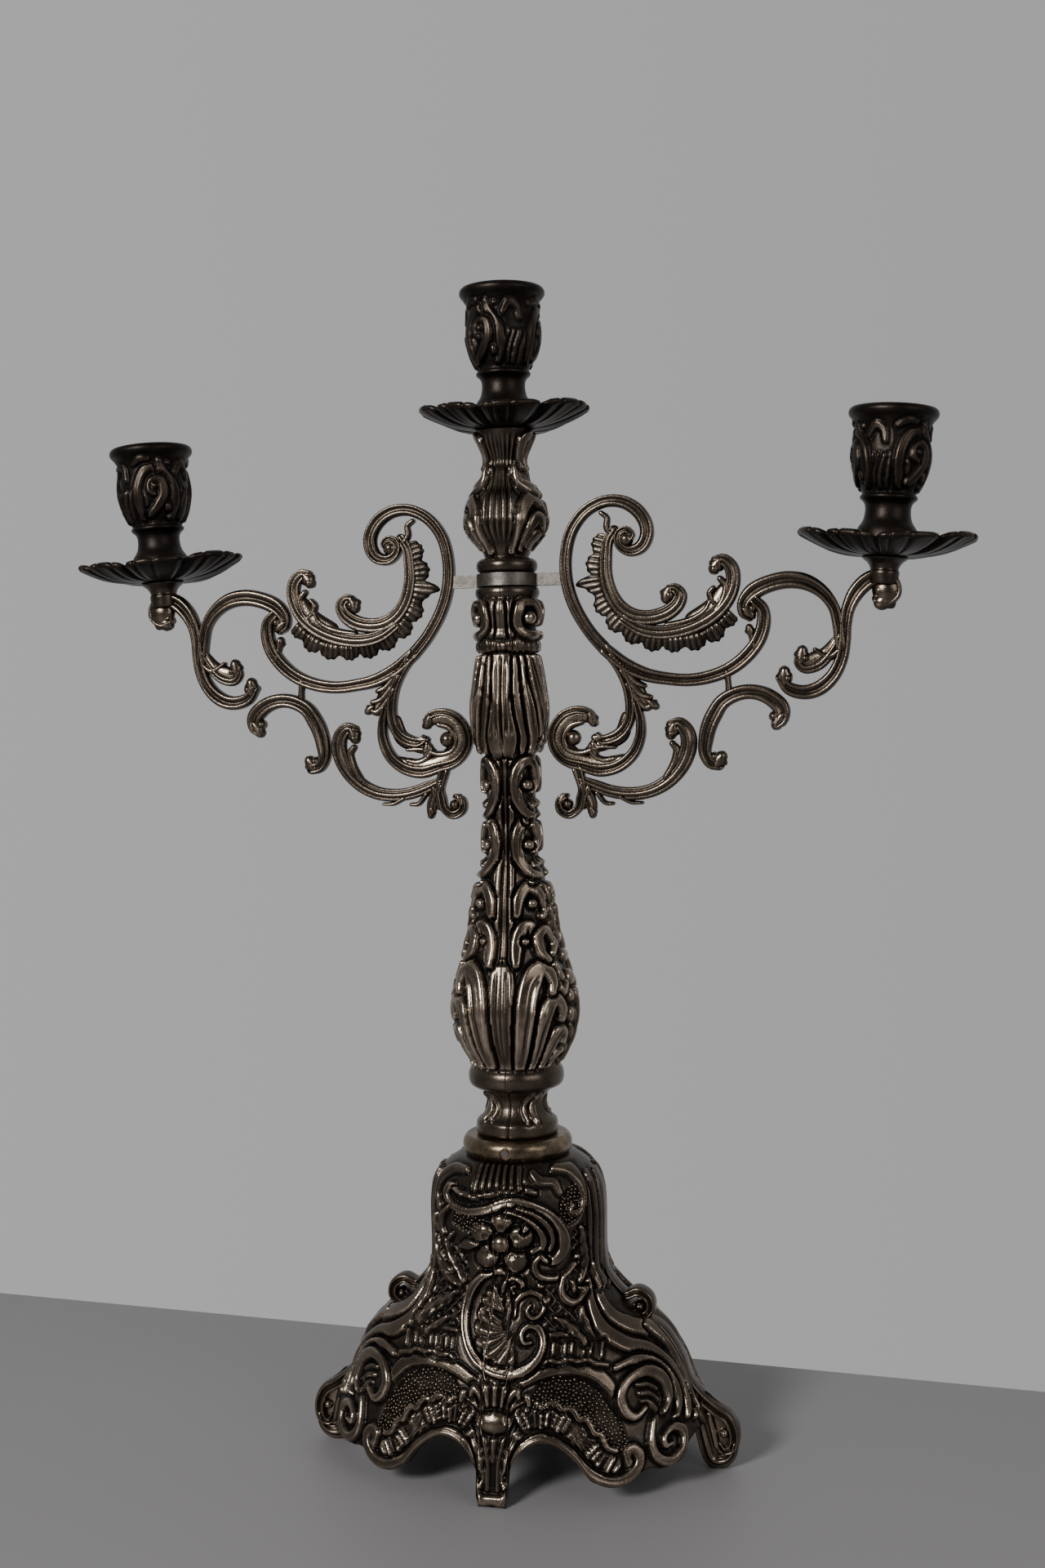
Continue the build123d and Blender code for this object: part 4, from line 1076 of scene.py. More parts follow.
    # double scroll round the flower
    rib([(-15, 105.6, 1.4), (-19.6, 107.6, 2), (-21.4, 104.4, 2.2), (-18.4, 101, 2.4), (-12, 99.9, 2.5),
        (-5, 101.2, 2.8), (0, 103.2, 3), (5, 104, 3.2), (10, 102.8, 3.4), (15, 100.2, 3.6), (19, 96.2, 3.8),
        (21.4, 91, 3.8), (21.4, 86, 3.6), (18.8, 82.6, 3.2), (15.2, 82.4, 2.4)], 2.3, 0.9, 0.5)
    relief.groove([(-18.4, 101.4, 0.6), (-12, 100.2, 0.7), (-5, 101.6, 0.7), (0, 103.6, 0.8),
        (5, 104.4, 0.8), (10.3, 103.2, 0.8), (15.6, 100.6, 0.9), (19.7, 96.4, 0.9), (22.2, 91, 0.9),
        (22, 85.6, 0.8)], 0.8)
    leaf([(-17.6, 106.4, 2.4), (-11, 105.4, 3.6), (-3, 107.4, 4), (5, 109.2, 3.8), (12.6, 107.2, 2.4)],
        1.6, 4)
    rib([(2, 100.9, 1.2), (8, 99.6, 1.9), (12.6, 95.9, 2.2), (15, 91, 2.4), (14.6, 87, 2.6),
        (11.4, 86.4, 2.2)], 2, 0.6)
    rib([(6, 102, 1), (12, 99.6, 1.5), (16.6, 95, 1.8), (18.2, 90, 1.8), (17, 86.4, 1.6)], 1.7)
    rib([(25.6, 82.6, 1.8), (23.4, 77.6, 2.2), (18.6, 75.8, 2.3), (13.4, 77.2, 2.3), (11.8, 81.2, 2.2),
        (14, 84.4, 1.8), (15.8, 82.4, 1.5)], 2, 0.6)
    rib([(24.6, 80, 1.6), (21.2, 74.6, 2), (21.4, 69.4, 2.2), (25.4, 66.6, 2.2), (28.6, 69.2, 1.9),
        (26.6, 71.6, 1.6)], 1.9, 0.6)
    rib([(24.4, 73.6, 1.2), (25.2, 70.4, 1.6)], 1.4, 0.4)
    # top: fringe and shoulder scrolls
    for x in (-10, -7.2, -4.4, -1.6, 1.2, 4.0, 6.8):
        rib([(x * 0.85, 115, 1.6), (x, 109.6 - 0.02 * x * x, 1.7)], 1.1, 0.6)
    rib([(10.4, 113.6, 1.8), (13.6, 111, 2.4), (18.4, 110, 2.4), (20.6, 106.4, 2)], 1.5, 0.6, lines=2)
    rib([(17, 114.4, 1.6), (22.4, 113, 2.2), (26.6, 108.4, 2.4), (27.8, 102.6, 2.2), (26.4, 98.8, 1.9),
        (23.8, 99.6, 1.5), (24.4, 101.8, 1.3)], 1.9, 0.6)
    rib([(-14, 113.4, 1.6), (-20.4, 112.6, 2.2), (-25.4, 108.6, 2.4), (-26.6, 102.8, 2.2),
        (-24.8, 99.4, 1.7)], 1.8, 0.6)
    rib([(-21, 100, 1.4), (-24.4, 95.4, 2.2), (-24.4, 90.4, 2.4), (-21.4, 87.8, 1.8), (-19.6, 90.2, 1.4)],
        1.7, 0.6)
    leaf([(-27.6, 95, 2.2), (-28, 87, 4.4), (-26, 79.6, 5.4), (-22, 74.6, 5.4), (-17.4, 72, 3.4)], 1.9, 5)
    leaf([(-22.2, 87.6, 1.6), (-20.2, 81.4, 3.0), (-16.6, 76.4, 3.2), (-14.8, 73.4, 2.0)], 1.7, 4)
    leaf([(-17.4, 69.6, 2.0), (-21.6, 66.4, 4.0), (-27.6, 62.8, 4.6), (-33, 57.4, 2.6)], 1.8, 4)
    leaf([(-20, 61, 1.6), (-24, 58.6, 2.6), (-29, 54.6, 2.0)], 1.4, 3)
    leaf([(19.6, 62.6, 1.6), (23.6, 60.6, 3.0), (27.6, 57.6, 3.2), (31, 54, 2.0)], 1.5, 3)
    leaf([(27.4, 92.6, 1.6), (28, 86, 3.4), (28.4, 79, 3.6), (27.2, 73.4, 2.4)], 1.3, 4)
    # quiet the outermost line, where front and back meet
    rim = np.clip((1 - np.abs(relief.across) / half_length) * 60, 0, 1)
    relief.height = relief.height * rim
    return pebbles


def base_front():
    """Front half of the hollow base, its pebbled fields as a separate patch."""
    columns = 372
    rows = 232
    wall = 3
    top_plate = 4
    rod_hole = 4.0
    degrees = np.linspace(180, 360, columns)
    across_share = np.cos(np.radians(degrees))
    deep_share = np.sin(np.radians(degrees))
    # equal steps along the side's own slope
    levels = np.linspace(0, 116, 600)
    length, depth = base_size(levels)
    path = np.concatenate([[0], np.cumsum(np.hypot(np.diff(levels), np.diff((length + depth) / 2)))])
    low = np.full(columns, 10.0)
    for _ in range(12):
        low = edge_level(base_size(low)[0] * across_share) * 0.5 + low * 0.5
    start = np.interp(low, levels, path)
    share = np.linspace(0, 1, rows)[:, None]
    up = np.interp(start[None, :] + (path[-1] - start[None, :]) * share, path, levels)
    length, depth = base_size(up)
    points = np.stack([length * across_share, depth * deep_share, up], -1)
    normal = -sheet_normals(points)
    outward = np.sign((normal[:, :, 0] * points[:, :, 0] + normal[:, :, 1] * points[:, :, 1]).sum())
    normal = normal * outward
    side = np.clip(np.abs(points[:, :, 0]) / length, 0, 0.985)
    slope = depth / length * side / np.sqrt(1 - side ** 2)
    relief = Relief(points[:, :, 0], up, np.clip(np.sqrt(1 + slope ** 2), 1, 2.4))
    pebbles = draw_base(relief)
    height = relief.blurred(1) * 0.85
    rub = relief.rub(0.42, 0.37, 12)
    normal[:, 0, 1] = 0
    normal[:, -1, 1] = 0
    normal /= np.linalg.norm(normal, axis=2, keepdims=True)
    surface = points + normal * height[:, :, None]
    surface[:, :, 2] = np.maximum(surface[:, :, 2], 0)
    surface[0, :, 2] = points[0, :, 2]
    # flat top, roof and inner wall
    ring = np.stack([across_share, deep_share, np.zeros(columns)], -1)
    roof = base_top - top_plate
    rows_in = [ring * reach + (0, 0, level) for reach, level in (
        (15.0, base_top), (rod_hole, base_top), (rod_hole, roof), (15.0, roof))]
    for share in np.linspace(1, 0, 16):
        level = low + (base_top - 12 - low) * share
        length, depth = base_size(level)
        rows_in.append(np.stack([(length - wall) * across_share, (depth - wall) * deep_share, level], -1))
    whole = np.concatenate([surface, np.array(rows_in)])
    rubs = np.concatenate([rub, np.full((len(rows_in), columns), 0.3)])
    total = len(whole)
    quads = grid_faces(total, columns, loop_rows=True)
    first = [row * columns for row in range(total)]
    last = [row * columns + columns - 1 for row in reversed(range(total))]
    shape = Shape()
    shape.add(whole.reshape(-1, 3), [quads, np.array([first]), np.array([last])], rubs.reshape(-1))
    patch = grid_faces(rows, columns)
    patch = patch[pebbles.reshape(-1)[patch].all(1)]
    return shape, surface.reshape(-1, 3), patch


front_shape, front_surface, pebble_patch = base_front()
half_turn = Matrix.Rotation(math.pi, 4, "Z")
front_shape.piece("base_shell_front", cast_relief, "stand", "cast_relief", "base_casting")
front_shape.moved(half_turn).piece("base_shell_back", cast_relief, "stand", "cast_relief", "base_casting")


def base_end(side):
    """Ridge, rolled volute and curled foot at one end of the base."""
    shape = Shape()

    def at(*points):
        """Points given as (distance from the middle, height, width)."""
        return [(side * x, z, width) for x, z, width in points]

    ridge = beside_edge((110, 104, 96, 88, 80, 72, 66), side, 0.6, 3.0)
    sweep(shape, ridge + at((41, 63.4, 3.4), (45.6, 65, 3.8), (49.6, 62.6, 3.8), (50.2, 58.4, 3.6),
        (47.2, 55.8, 3.2), (44.4, 57.4, 2.8), (45, 60, 2.4)), 7, "double")
    ball(shape, side * 46.3, 0, 59.6, (2.2, 4.6, 2.2), 0.7)
    down = at((46, 55.4, 3.6))
    for level, inset, wide in ((52, 1.0, 4.2), (47, 1.0, 4.4), (40, 1.0, 4.4), (32, 1.2, 4.4),
                               (26.5, -0.4, 4.6)):
        down += beside_edge((level,), side, inset, wide)
    down += at((73.8, 22.2, 4.8), (78.6, 19.2, 4.6), (81, 14, 4.2), (80.4, 8.6, 4), (77.2, 7, 3.2),
        (75.4, 9.4, 2.6))
    sweep(shape, down, 8.0, "double")
    sweep(shape, at((67.4, 28, 4), (68.6, 19, 6), (70.6, 10, 7), (72.8, 3.5, 6.6), (76.6, 2.9, 5.6),
        (79.6, 5.2, 4.4), (81, 9.4, 3.4)), 7.4, "leaf")
    sweep(shape, at((69, 24, 9), (73.4, 17, 13), (75.4, 9, 12)), 4.6, "round")
    sweep(shape, at((71.8, 20.6, 3.4), (73.4, 14, 4), (74.6, 8.6, 3.6)), 8.6, "round")
    ball(shape, side * 77.4, 0, 13.6, (2.3, 4.4, 2.3), 0.85)
    return shape


for name, side in (("right", 1), ("left", -1)):
    base_end(side).piece(f"base_end_{name}", cast_relief, "stand", "cast_relief", "base_casting")


# ---- pebbles, grown over the sunk fields ----
def new_tree(name, inputs):
    """Empty geometry tree with named size inputs."""
    tree = bpy.data.node_groups.new(name, "GeometryNodeTree")
    tree.interface.new_socket("Geometry", in_out="INPUT", socket_type="NodeSocketGeometry")
    for label, kind, value in inputs:
        socket = tree.interface.new_socket(label, in_out="INPUT", socket_type=kind)
        socket.default_value = value
    tree.interface.new_socket("Geometry", in_out="OUTPUT", socket_type="NodeSocketGeometry")
    maker = Maker(tree)
    return tree, maker, maker.node("NodeGroupInput").outputs, maker.node("NodeGroupOutput")


def grown(name, source, tree, sizes, shape_name):
    """The plain mesh that a geometry tree makes from a source mesh."""
    holder = bpy.data.objects.new(name + "_source", source)
    bpy.context.scene.collection.objects.link(holder)
    modifier = holder.modifiers.new("grow", "NODES")
    modifier.node_group = tree
    for item in tree.interface.items_tree:
        if item.item_type == "SOCKET" and item.in_out == "INPUT" and item.name in sizes:
            modifier[item.identifier] = sizes[item.name]
    bpy.context.view_layer.update()
    graph = bpy.context.evaluated_depsgraph_get()
    mesh = bpy.data.meshes.new_from_object(holder.evaluated_get(graph))
    holder.modifiers.clear()
    bpy.data.objects.remove(holder)
    made = bpy.data.objects.new(shape_name, mesh)
    bpy.context.scene.collection.objects.link(made)
    return made


def pebble_tree(material):
    """Small domes, each in its own place on a field."""
    tree, maker, given, result = new_tree("pebbled_ground", [
        ("Spacing", "NodeSocketFloat", 0.0012), ("Pebble Radius", "NodeSocketFloat", 0.0006),
        ("Seed", "NodeSocketInt", 7)])
    spread = maker.node("GeometryNodeDistributePointsOnFaces", {"distribute_method": "POISSON"}, {
        "Mesh": given["Geometry"], "Distance Min": given["Spacing"], "Density Max": 3.0e6,
        "Seed": given["Seed"]})
    dome = maker.node("GeometryNodeMeshIcoSphere", None, {
        "Radius": given["Pebble Radius"], "Subdivisions": 1})
    smooth_dome = maker.node("GeometryNodeSetShadeSmooth", None, {0: dome.outputs["Mesh"]})
    size = maker.node("FunctionNodeRandomValue", {"data_type": "FLOAT"}, {
        2: 0.85, 3: 1.15, "Seed": given["Seed"]})
    placed = maker.node("GeometryNodeInstanceOnPoints", None, {
        "Points": spread.outputs["Points"], "Instance": smooth_dome.outputs[0],
        "Rotation": spread.outputs["Rotation"], "Scale": size.outputs[1]})
    real = maker.node("GeometryNodeRealizeInstances", None, {0: placed.outputs[0]})
    rub = maker.node("GeometryNodeStoreNamedAttribute", {"data_type": "FLOAT", "domain": "POINT"},
                     {"Geometry": real.outputs[0], "Name": "rub", "Value": 0.66})
    finish = maker.node("GeometryNodeSetMaterial", None, {"Geometry": rub.outputs[0], "Material": material})
    tree.links.new(finish.outputs[0], result.inputs[0])
    return tree


field = bpy.data.meshes.new("pebble_field")
used, places = np.unique(pebble_patch, return_inverse=True)
one_side = front_surface[used]
other_side = one_side * (-1, -1, 1)
quads = places.reshape(-1, 4)
field.from_pydata((np.vstack([one_side, other_side]) * MM).tolist(), [],
                  quads.tolist() + (quads + len(one_side)).tolist())
pebbles = grown("pebbles", field, pebble_tree(cast_relief),
                {"Spacing": 0.00124, "Pebble Radius": 0.00062, "Seed": 7}, "base_pebbles")
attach(pebbles, "stand")
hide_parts("base_casting")


# ---- scroll arms ----
# Each scroll is (x, z, width) in the arm's own plane.
rimmed_scrolls = {
    "s_bar": [(46.2, 345.3, 2.5), (47.6, 347, 2.6), (45.6, 348.9, 3), (42.8, 347.3, 3.2),
        (42.9, 343.6, 3.4), (46.4, 341.2, 4.2), (50.8, 342.4, 5), (53.1, 346.5, 5.2), (52.6, 351.5, 5.2),
        (49.2, 356.4, 5.2), (43.6, 359.4, 4.8), (36.8, 359.4, 4.5), (29.8, 355.6, 4.5), (24.8, 348.6, 4.5),
        (22.7, 339.5, 4.5), (23.1, 330, 4.6), (26, 320.8, 4.7), (31.2, 312, 4.7), (37.2, 305, 5)],
    "branch": [(37.2, 305, 5), (44, 299.5, 5.5), (52, 295.6, 5.2), (60, 293.9, 4.8), (68, 293.2, 4.8),
        (76, 294.3, 5), (83.5, 297.2, 5.2), (89.5, 301.8, 5.4), (93.8, 307.5, 5.4), (95.6, 313.5, 5.2),
        (95.2, 318.5, 4.6), (92.5, 321.5, 4)],
    "lower_s": [(37.2, 305, 4), (41.5, 299, 3.6), (44.6, 292.5, 3.6), (46, 286, 3.8), (45.9, 280, 4),
        (44, 275.8, 4.4), (40.6, 272.8, 4.6), (36, 271.6, 4.2), (33.4, 272.8, 3)],
    "lower_volute": [(48.5, 285, 2.5), (49.8, 279, 3.5), (49.6, 272.5, 4), (46.8, 266.3, 4.5),
        (41.2, 261.8, 4.8), (34.5, 260.4, 5), (28, 262, 4.4), (20.8, 264.2, 3.6), (16.6, 269.4, 3.2),
        (16.6, 275.6, 3.2), (20.4, 281, 3.2), (26, 283, 3.2), (31, 281.6, 3), (32.8, 277.8, 2.4)],
    "bottom_curl": [(26, 260.5, 4.5), (27.5, 254, 3.4), (26.8, 250, 3.4), (26, 246.5, 3.4),
        (22.5, 244, 3.6), (19, 245.8, 3.4), (18.8, 249.4, 2.8), (21.4, 251, 2.2)],
    "arch": [(78.6, 262, 4.4), (75.6, 262.8, 4.6), (73.6, 266.5, 4.8), (74, 271.5, 5.6), (75, 275.8, 6),
        (77, 280.2, 6.2), (80.3, 285, 5.8), (85.8, 287.9, 5.6), (91.5, 288.4, 5.6), (97, 286.6, 6),
        (101.4, 282.6, 6.2), (101.8, 278.5, 5), (99.6, 276.2, 3.6)],
    "outer_s": [(101, 293.4, 3), (104.5, 289.4, 4.8), (110, 287.9, 5.4), (115.5, 289.4, 5.6),
        (120.2, 293.6, 5.2), (123.2, 299.5, 4.8), (124.4, 306, 4.6), (124.8, 312, 4.6), (126, 318, 5),
        (128.8, 323.4, 6), (133, 327.4, 6.2), (137.6, 328.8, 5.4), (141.6, 326.8, 4.6), (142.6, 322.6, 4.2),
        (139.6, 319.8, 3.8), (135.8, 320.8, 3.2)],
    "ring_arch": [(123, 304, 4), (122.2, 312, 4.2), (120.6, 318.5, 4.2), (116.6, 324, 5), (110.8, 327.6, 6),
        (104.2, 328.6, 6.4), (97.6, 327.4, 6.4), (92, 324.8, 6.4), (88.6, 321, 5), (88.4, 317.2, 4),
        (90.5, 315.2, 2.6)],
}
leafy_scrolls = {
    "lower_leaf": [(27, 257, 3), (32.5, 254.6, 4.5), (39, 252.4, 4.8), (46, 251.6, 5), (53, 252.6, 5.2),
        (59.5, 256, 5.6), (64.6, 261.5, 6), (67.4, 268, 6.2), (67.2, 273.6, 6), (64.4, 277.2, 5),
        (61, 276.9, 3.6)],
    "inner_leaf": [(41, 349, 3.8), (38.6, 345, 4.2), (37.8, 339, 4.6), (37.8, 332.5, 4.8), (39.4, 326, 5.2),
        (42.8, 320.6, 5.6), (47.6, 317.3, 5.8), (53.4, 316.4, 5.8), (59.4, 317.6, 6), (63.8, 320.6, 5.6),
        (65.4, 324.4, 4.8), (63.2, 327, 3.8), (60.6, 326.4, 2.8)],
    "long_leaf": [(44, 316, 4), (50, 312.3, 5), (57, 310.8, 5.6), (64, 311.3, 5.8), (71, 313.4, 6),
        (77.4, 317, 6), (82.2, 322, 5.6), (84.6, 328, 5.4), (84.2, 333.4, 5.4), (81.4, 336.6, 4.6),
        (78.4, 336.6, 3.6)],
    "cup_leaf": [(108.6, 301.6, 2.6), (107.9, 299, 3.6), (110.5, 296.8, 4.6), (115.5, 298.2, 4.6),
        (119.6, 302.6, 4.2), (123, 308.5, 4)],
    "pendant_leaf": [(27.6, 255.5, 3.6), (30.6, 248.5, 4.6), (31.3, 243.8, 2.8)],
}
small_curls = {
    "spur": [(92, 304.5, 2), (91.2, 308, 2.4), (90.3, 311.3, 2.2)],
    "volute_tongue": [(40, 264.8, 2.4), (36, 264.2, 2.8), (32.6, 265.6, 2.8), (30.8, 268.6, 2.8),
        (32.2, 271.2, 2.4)],
    "volute_inner_rib": [(40, 269, 1.8), (34, 269, 2.4), (27.6, 267, 2.8), (22.4, 268.4, 3),
        (20.8, 272.6, 3), (23.4, 277, 3), (27.6, 278.4, 2.4)],
    "leaf_tongue": [(58.8, 257.6, 2.4), (61.8, 262.4, 3), (63.2, 267.4, 3.2), (61.6, 270, 2.6)],
    "ring_inner_leaf": [(122.6, 303, 2.6), (119.6, 300.6, 3), (117, 301.2, 2.8), (113.9, 303.2, 1.8)],
    "long_leaf_curl": [(78, 317.8, 3), (80.8, 322, 3.4), (82, 327, 3.2), (80, 329.8, 2.6)],
    "long_leaf_curl_low": [(80, 319, 2.4), (77.3, 321.4, 2.6), (76, 324.6, 2.6), (77.4, 326.6, 2)],
    "long_leaf_line": [(60, 313.6, 2), (66, 314.5, 2.6), (71, 316.2, 2.8), (74.6, 318.8, 2.4),
        (76.2, 321.8, 2)],
    "hook": [(36.3, 355.4, 2), (38.4, 353.6, 2.4), (38.2, 350, 2.6), (40, 347.4, 2.4)],
    "arch_tab": [(82, 295.6, 2.8), (82.4, 292, 2.4), (82.6, 289, 2.8)],
    "pendant_side": [(27, 255, 2), (28.4, 250.6, 2.4), (28, 246.6, 1.8)],
    "branch_leaf_a": [(39, 303, 2.6), (44, 297.6, 3.2), (48, 293, 3.2), (51.4, 291.4, 2.2)],
    "branch_leaf_b": [(43, 297, 2.6), (46.6, 292, 3.2), (50.2, 288.2, 3.2), (53.6, 287.2, 2.2)],
    "branch_leaf_c": [(45, 292, 2.6), (48, 287.4, 3.2), (51.6, 283.6, 3.4), (54.4, 284.2, 2.4)],
    "fringe_tips_a": [(33, 252, 2), (36, 248.4, 2), (39, 248, 1.6)],
    "fringe_tips_b": [(42, 250.4, 2), (46, 248.4, 1.8), (50, 248.2, 1.4)],
}
# Broad solid bodies behind the ribs of the big volute and the leaves.
fill_bodies = {
    "volute_body": [(44, 264.6, 4), (36, 262.6, 6), (28, 263.4, 7.4), (22, 266.4, 8.6), (18.8, 271.2, 7.6),
        (20.4, 277.2, 7.4), (25, 280.8, 6.4), (30.2, 280.4, 4.6)],
    "volute_leaf_body": [(44.6, 280, 4.6), (42.4, 273.6, 6), (36, 270.4, 5.6), (30, 268, 3)],
    "branch_leaf_body": [(41, 301, 4), (45.5, 294.5, 6), (49, 289, 6), (52, 284.6, 4)],
    "pendant_body": [(28, 256, 4.6), (30, 250, 5), (31.2, 246, 3)],
    "long_leaf_body": [(70, 315, 7), (77.6, 319.4, 8), (81.6, 325, 7)],
    "cup_leaf_body": [(109.4, 300.2, 4.4), (112.6, 299.2, 6.4), (117.6, 301.4, 5.6), (121.4, 306, 4)],
}
# Rounded leaf ends: x, z, half length, width and the way they point, in degrees.
lobes = [(60.6, 325, 1.6, 5.2, 250), (78.6, 334.8, 1.6, 5, 235), (61.6, 275, 1.7, 5, 250),
    (78.8, 263.6, 1.6, 5.2, 60), (100.6, 277.8, 1.7, 5, 240), (102.8, 293.8, 1.8, 5, 90),
    (109, 301.2, 1.8, 4.8, 80), (90, 317.2, 1.4, 4.4, 320), (31.6, 279.6, 1.5, 4.2, 290),
    (32.4, 268.6, 1.6, 4.2, 100), (33.8, 272.6, 1.2, 3.6, 180), (19.6, 249.6, 1.2, 3.4, 60),
    (139.6, 321, 2.4, 7, 215), (90.5, 310.6, 1.2, 3.4, 100), (54.6, 284.6, 1.2, 3.6, 320),
    (31.2, 245, 1.2, 3.2, 280), (29.6, 253, 1.2, 3.6, 260)]
fringe_line = [(38.4, 347.4, 5), (36.2, 340, 5.6), (35.4, 333, 6), (36.8, 325.4, 5.8), (40.4, 318.6, 5.8),
    (46, 313.4, 5.8), (54, 309.6, 5.8), (63, 308.6, 5.6), (71.6, 309.6, 5.8), (78.6, 313.2, 5.6),
    (83.6, 318, 4.4)]
eyes = [(45.4, 345.4, 2.9), (24.4, 272.6, 3.1), (21.9, 247.9, 2.1), (61.3, 324.4, 2.2), (61.2, 273.6, 1.9),
    (77.9, 333.4, 2.2), (77.2, 265, 1.9), (98.8, 279.4, 2), (104, 293, 1.9), (137.2, 323.6, 2.8),
    (91.6, 318.6, 2), (110.4, 300.2, 1.7), (32.6, 268.4, 1.5)]


def arm_shape():
    """The +X arm: ribbed scrolls, leaves, eyes and the neck that carries the drip pan."""
    shape = Shape()
    for name, points in rimmed_scrolls.items():
        sweep(shape, points, 5.5, "rim" if name == "s_bar" else "double")
    for points in leafy_scrolls.values():
        sweep(shape, points, 4.8, "leaf")
    for points in fill_bodies.values():
        sweep(shape, points, 3.4, "round")
    for points in small_curls.values():
        sweep(shape, points, 4.6, "round", 0.8)
    for x, z, long, wide, turn in lobes:
        wide = wide * 1.25
        dx = long * 1.2 * math.cos(math.radians(turn))
        dz = long * 1.2 * math.sin(math.radians(turn))
        sweep(shape, [(x - dx, z - dz, wide * 0.5), (x, z, wide), (x + dx * 0.8, z + dz * 0.8, wide * 0.7)],
              5.4, "round")
    for x, z, radius in eyes:
        ball(shape, x, 0, z, (radius, 3.1, radius), 0.7)
    ball(shape, 139.4, 0, 323.8, (5.2, 3.5, 5.6), 0.62, 14, 24)
    for shift in np.linspace(0, 1, 7):
        ball(shape, 39.6 + 6.4 * shift, 0, 302.6 - 5.6 * shift, (0.9, 3.2, 0.9), 0.7, 6, 10)
    # scalloped sheet of the shell fringe
    path = smooth(fringe_line, 0.5)
    along = np.gradient(path[:, :2], axis=0)
    along /= np.linalg.norm(along, axis=1, keepdims=True)
    out = np.column_stack([along[:, 1], -along[:, 0]])
    length = np.concatenate([[0], np.cumsum(np.linalg.norm(np.diff(path[:, :2], axis=0), axis=1))])
    scallop = 0.58 + 0.5 * np.abs(np.sin(math.pi * length / 7.4)) ** 0.7 + 0.06 * np.sin(length * 2.9)
    tip = np.exp(-((length - 17.0) / 1.6) ** 2) * 0.75
    reach = path[:, 2] * (scallop * 0.86 + tip)
    group = np.abs(np.sin(math.pi * length / 7.4)) ** 0.5
    pleat = (0.65 + 0.35 * np.sin(2 * math.pi * length / 2.0)) * (0.5 + 0.5 * group)
    profile = np.array([(-0.35, 0.3), (0.0, 0.9), (0.25, 0.8), (0.5, 0.72), (0.75, 0.66), (0.92, 0.55),
                        (1.0, 0.2)])
    rows = []
    rubs = []
    for index in range(len(path)):
        places = path[index, :2] + profile[:, :1] * reach[index] * out[index]
        depth = 1.8 * profile[:, 1] * (0.55 + 0.45 * pleat[index])
        rows.append(both_faces(places, depth))
        high = np.clip(0.12 + 0.6 * pleat[index] * profile[:, 1], 0, 1)
        rubs.append(np.concatenate([high, high[::-1]]))
    shape.add(np.vstack(rows), tube_faces(len(rows), len(rows[0])), np.concatenate(rubs))
    # neck under the drip pan
    neck = Shape()
    rows = outline_rows([
        [(0, -9.6), (5.0, -9.5)],
        [(5.0, -9.5), (5.4, -5.4), (5.0, -4.4), (5.9, -2.4), (8.0, -0.6), (8.2, 0)],
        [(8.2, 0), (0, 0.02)]], 0.5)
    turned(neck, rows, 60, None, 0.42)
    place = Matrix.Translation((arm_reach, 0, side_pan_level)) @ Matrix.Rotation(cup_lean, 4, "Y")
    shape.join(neck.moved(place))
    return shape


arm = arm_shape()
arm.piece("scroll_arm_right", cast_relief, "arms", "cast_relief", "arm_right")
arm.moved(half_turn).piece("scroll_arm_left", cast_relief, "arms", "cast_relief", "arm_left")

# ---- CAD nodes that stay, with their finishes ----
finishes = {"base_collar": worn_collar, "band_half_front": band_strip, "band_half_back": band_strip}
for node in ("collar_pin", "tie_rod", "foot_washer", "spring_washer", "foot_nut", "stud_left", "stud_right"):
    finishes[node] = steel_hardware
for node, material in finishes.items():
    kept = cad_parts[node]
    kept.data.materials.clear()
    kept.data.materials.append(material)
    kept.data.polygons.foreach_set("material_index", [0] * len(kept.data.polygons))

# ---- camera ----
camera_data = bpy.data.cameras.new("view")
camera_data.lens = 41.54
camera_data.sensor_width = 36
camera_data.dof.use_dof = False
camera = bpy.data.objects.new("view", camera_data)
bpy.context.scene.collection.objects.link(camera)
right = Vector((0.97350, 0.22791, -0.01855))
up = Vector((0.00788, 0.04765, 0.99883))
forward = Vector((-0.22853, 0.97251, -0.04460))
pose = Matrix((right, up, -forward)).transposed().to_4x4()
pose.translation = Vector((159.912, -661.653, 285.821)) * MM
camera.matrix_world = pose
bpy.context.scene.camera = camera


# ---- table, lamps and room ----
def plain(name, colour, roughness):
    """Painted surface with a faint grain."""
    material = bpy.data.materials.new(name)
    material.use_nodes = True
    material.node_tree.nodes.clear()
    maker = Maker(material.node_tree)
    place = maker.node("ShaderNodeTexCoord").outputs["Object"]
    height = maker.noise(place, 420.0, 4.0)
    tint = maker.noise(place, 6.0, 2.0)
    mix = maker.node("ShaderNodeMix", {"data_type": "RGBA"}, {
        "Factor": tint, 6: (*[part * 0.97 for part in colour], 1),
        7: (*[part * 1.03 for part in colour], 1)})
    bump = maker.node("ShaderNodeBump", None, {"Height": height, "Strength": 0.12, "Distance": 0.0006})
    surface = maker.node("ShaderNodeBsdfPrincipled", None, {
        "Base Color": mix.outputs[2], "Roughness": roughness, "Normal": bump.outputs["Normal"]})
    maker.node("ShaderNodeOutputMaterial", None, {"Surface": surface.outputs["BSDF"]})
    return material


def stage_sheet(name, corners, material):
    """Flat sheet that isn't part of the object."""
    mesh = bpy.data.meshes.new(name)
    mesh.from_pydata(corners, [], [(0, 1, 2, 3)])
    mesh.materials.append(material)
    made = bpy.data.objects.new(name, mesh)
    bpy.context.scene.collection.objects.link(made)
    return made


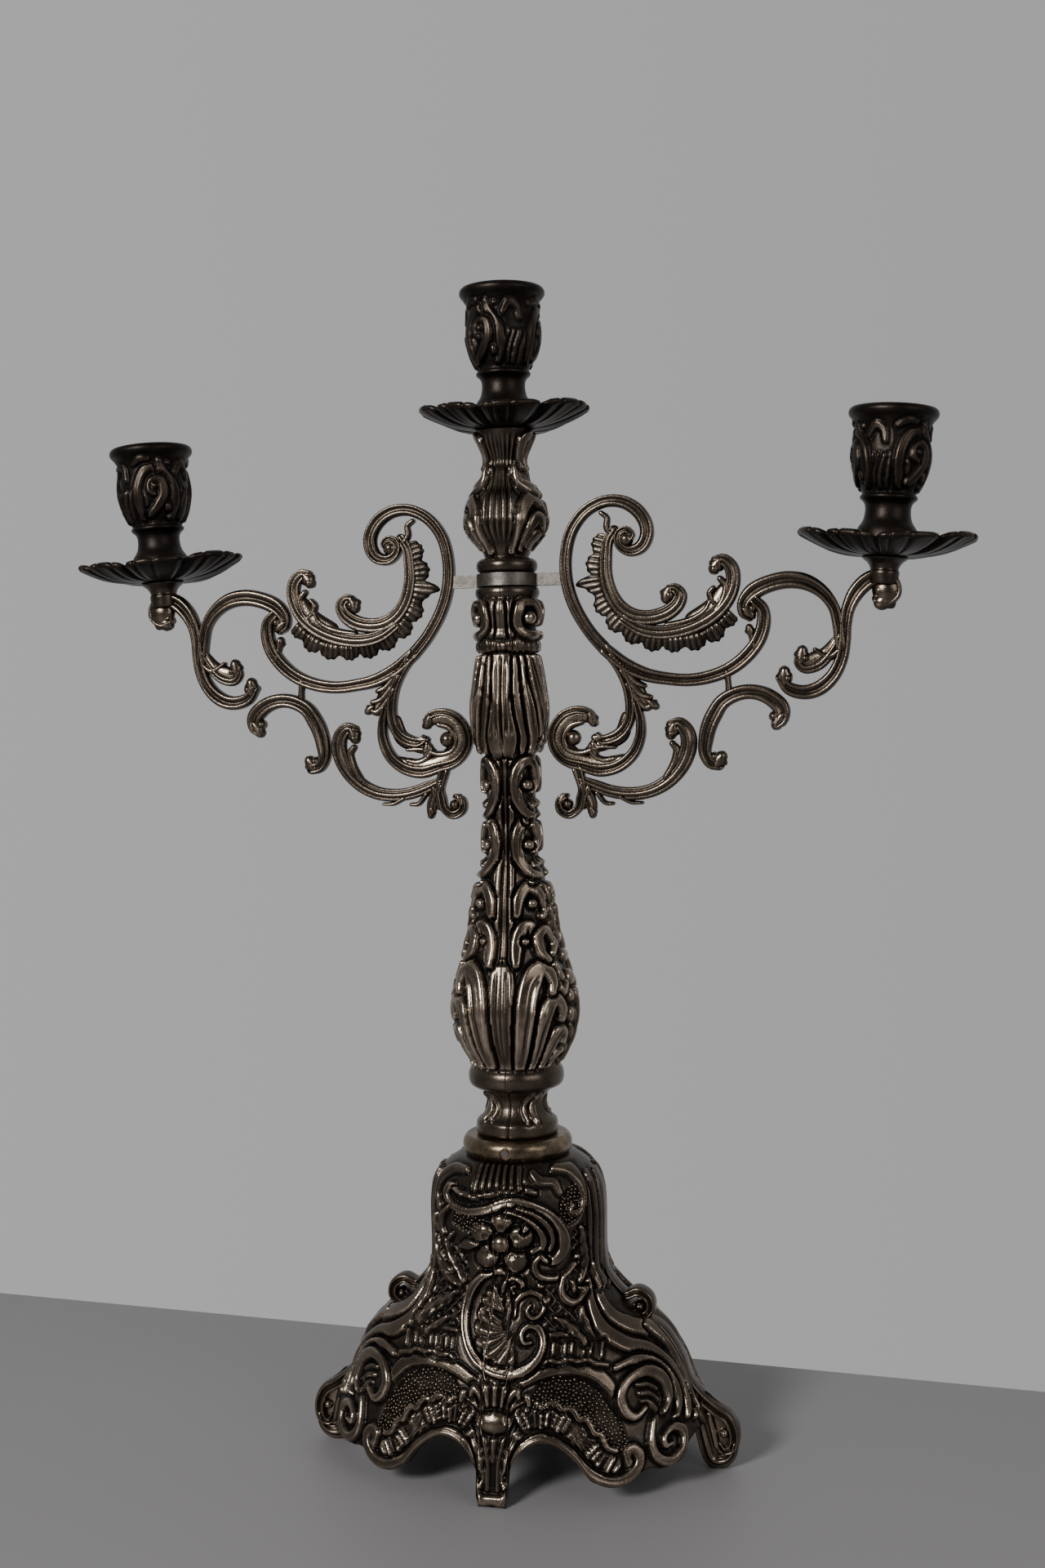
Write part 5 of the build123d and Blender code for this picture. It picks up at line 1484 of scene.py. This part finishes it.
# The table ends on a slanting line behind the candelabra. Past it there is only the pale room.
stage_sheet("table", [(-3, -3, 0), (3, -3, 0), (3, -0.128, 0), (-3, 0.352, 0)],
            plain("table_top", (0.30, 0.292, 0.305), 0.5))


def lamp(name, place, aim, size, power, colour):
    """Soft rectangular light aimed at a point."""
    data = bpy.data.lights.new(name, "AREA")
    data.shape = "RECTANGLE"
    data.size = size[0]
    data.size_y = size[1]
    data.energy = power
    data.color = colour
    made = bpy.data.objects.new(name, data)
    bpy.context.scene.collection.objects.link(made)
    made.location = place
    made.rotation_euler = (Vector(aim) - Vector(place)).to_track_quat("-Z", "Y").to_euler()
    return made


lamp("window", (-0.56, -1.30, 0.84), (0, 0, 0.25), (0.36, 0.36), 19, (1.0, 0.985, 0.96))
lamp("side_fill", (1.2, -0.9, 0.7), (0, 0, 0.25), (0.8, 0.8), 4, (1.0, 0.97, 0.94))
world = bpy.data.worlds.new("room")
world.use_nodes = True
world.node_tree.nodes.clear()
room = Maker(world.node_tree)
facing = room.node("ShaderNodeSeparateXYZ", None, {0: room.node("ShaderNodeTexCoord").outputs["Generated"]})
sweep_over = Tone(room, facing.outputs["X"]) * 0.8 + 0.5
pale = room.node("ShaderNodeMix", {"data_type": "RGBA"}, {
    "Factor": sweep_over.held(), 6: (0.47, 0.47, 0.477, 1), 7: (0.352, 0.35, 0.36, 1)})
# What the metal mirrors: a dim room in front of the candelabra, and a paler one behind it.
depth_over = Tone(room, facing.outputs["Y"]) * 0.6 + 0.42
mirrored_room = room.node("ShaderNodeMix", {"data_type": "RGBA"}, {
    "Factor": depth_over.held(), 6: (0.075, 0.07, 0.066, 1), 7: (0.46, 0.46, 0.465, 1)})
straight = room.node("ShaderNodeLightPath").outputs["Is Camera Ray"]
pale = room.node("ShaderNodeMix", {"data_type": "RGBA"}, {
    "Factor": straight, 6: mirrored_room.outputs[2], 7: pale.outputs[2]})
glow = room.node("ShaderNodeBackground", None, {"Color": pale.outputs[2], "Strength": 1.0})
room.node("ShaderNodeOutputWorld", None, {"Surface": glow.outputs[0]})
bpy.context.scene.world = world
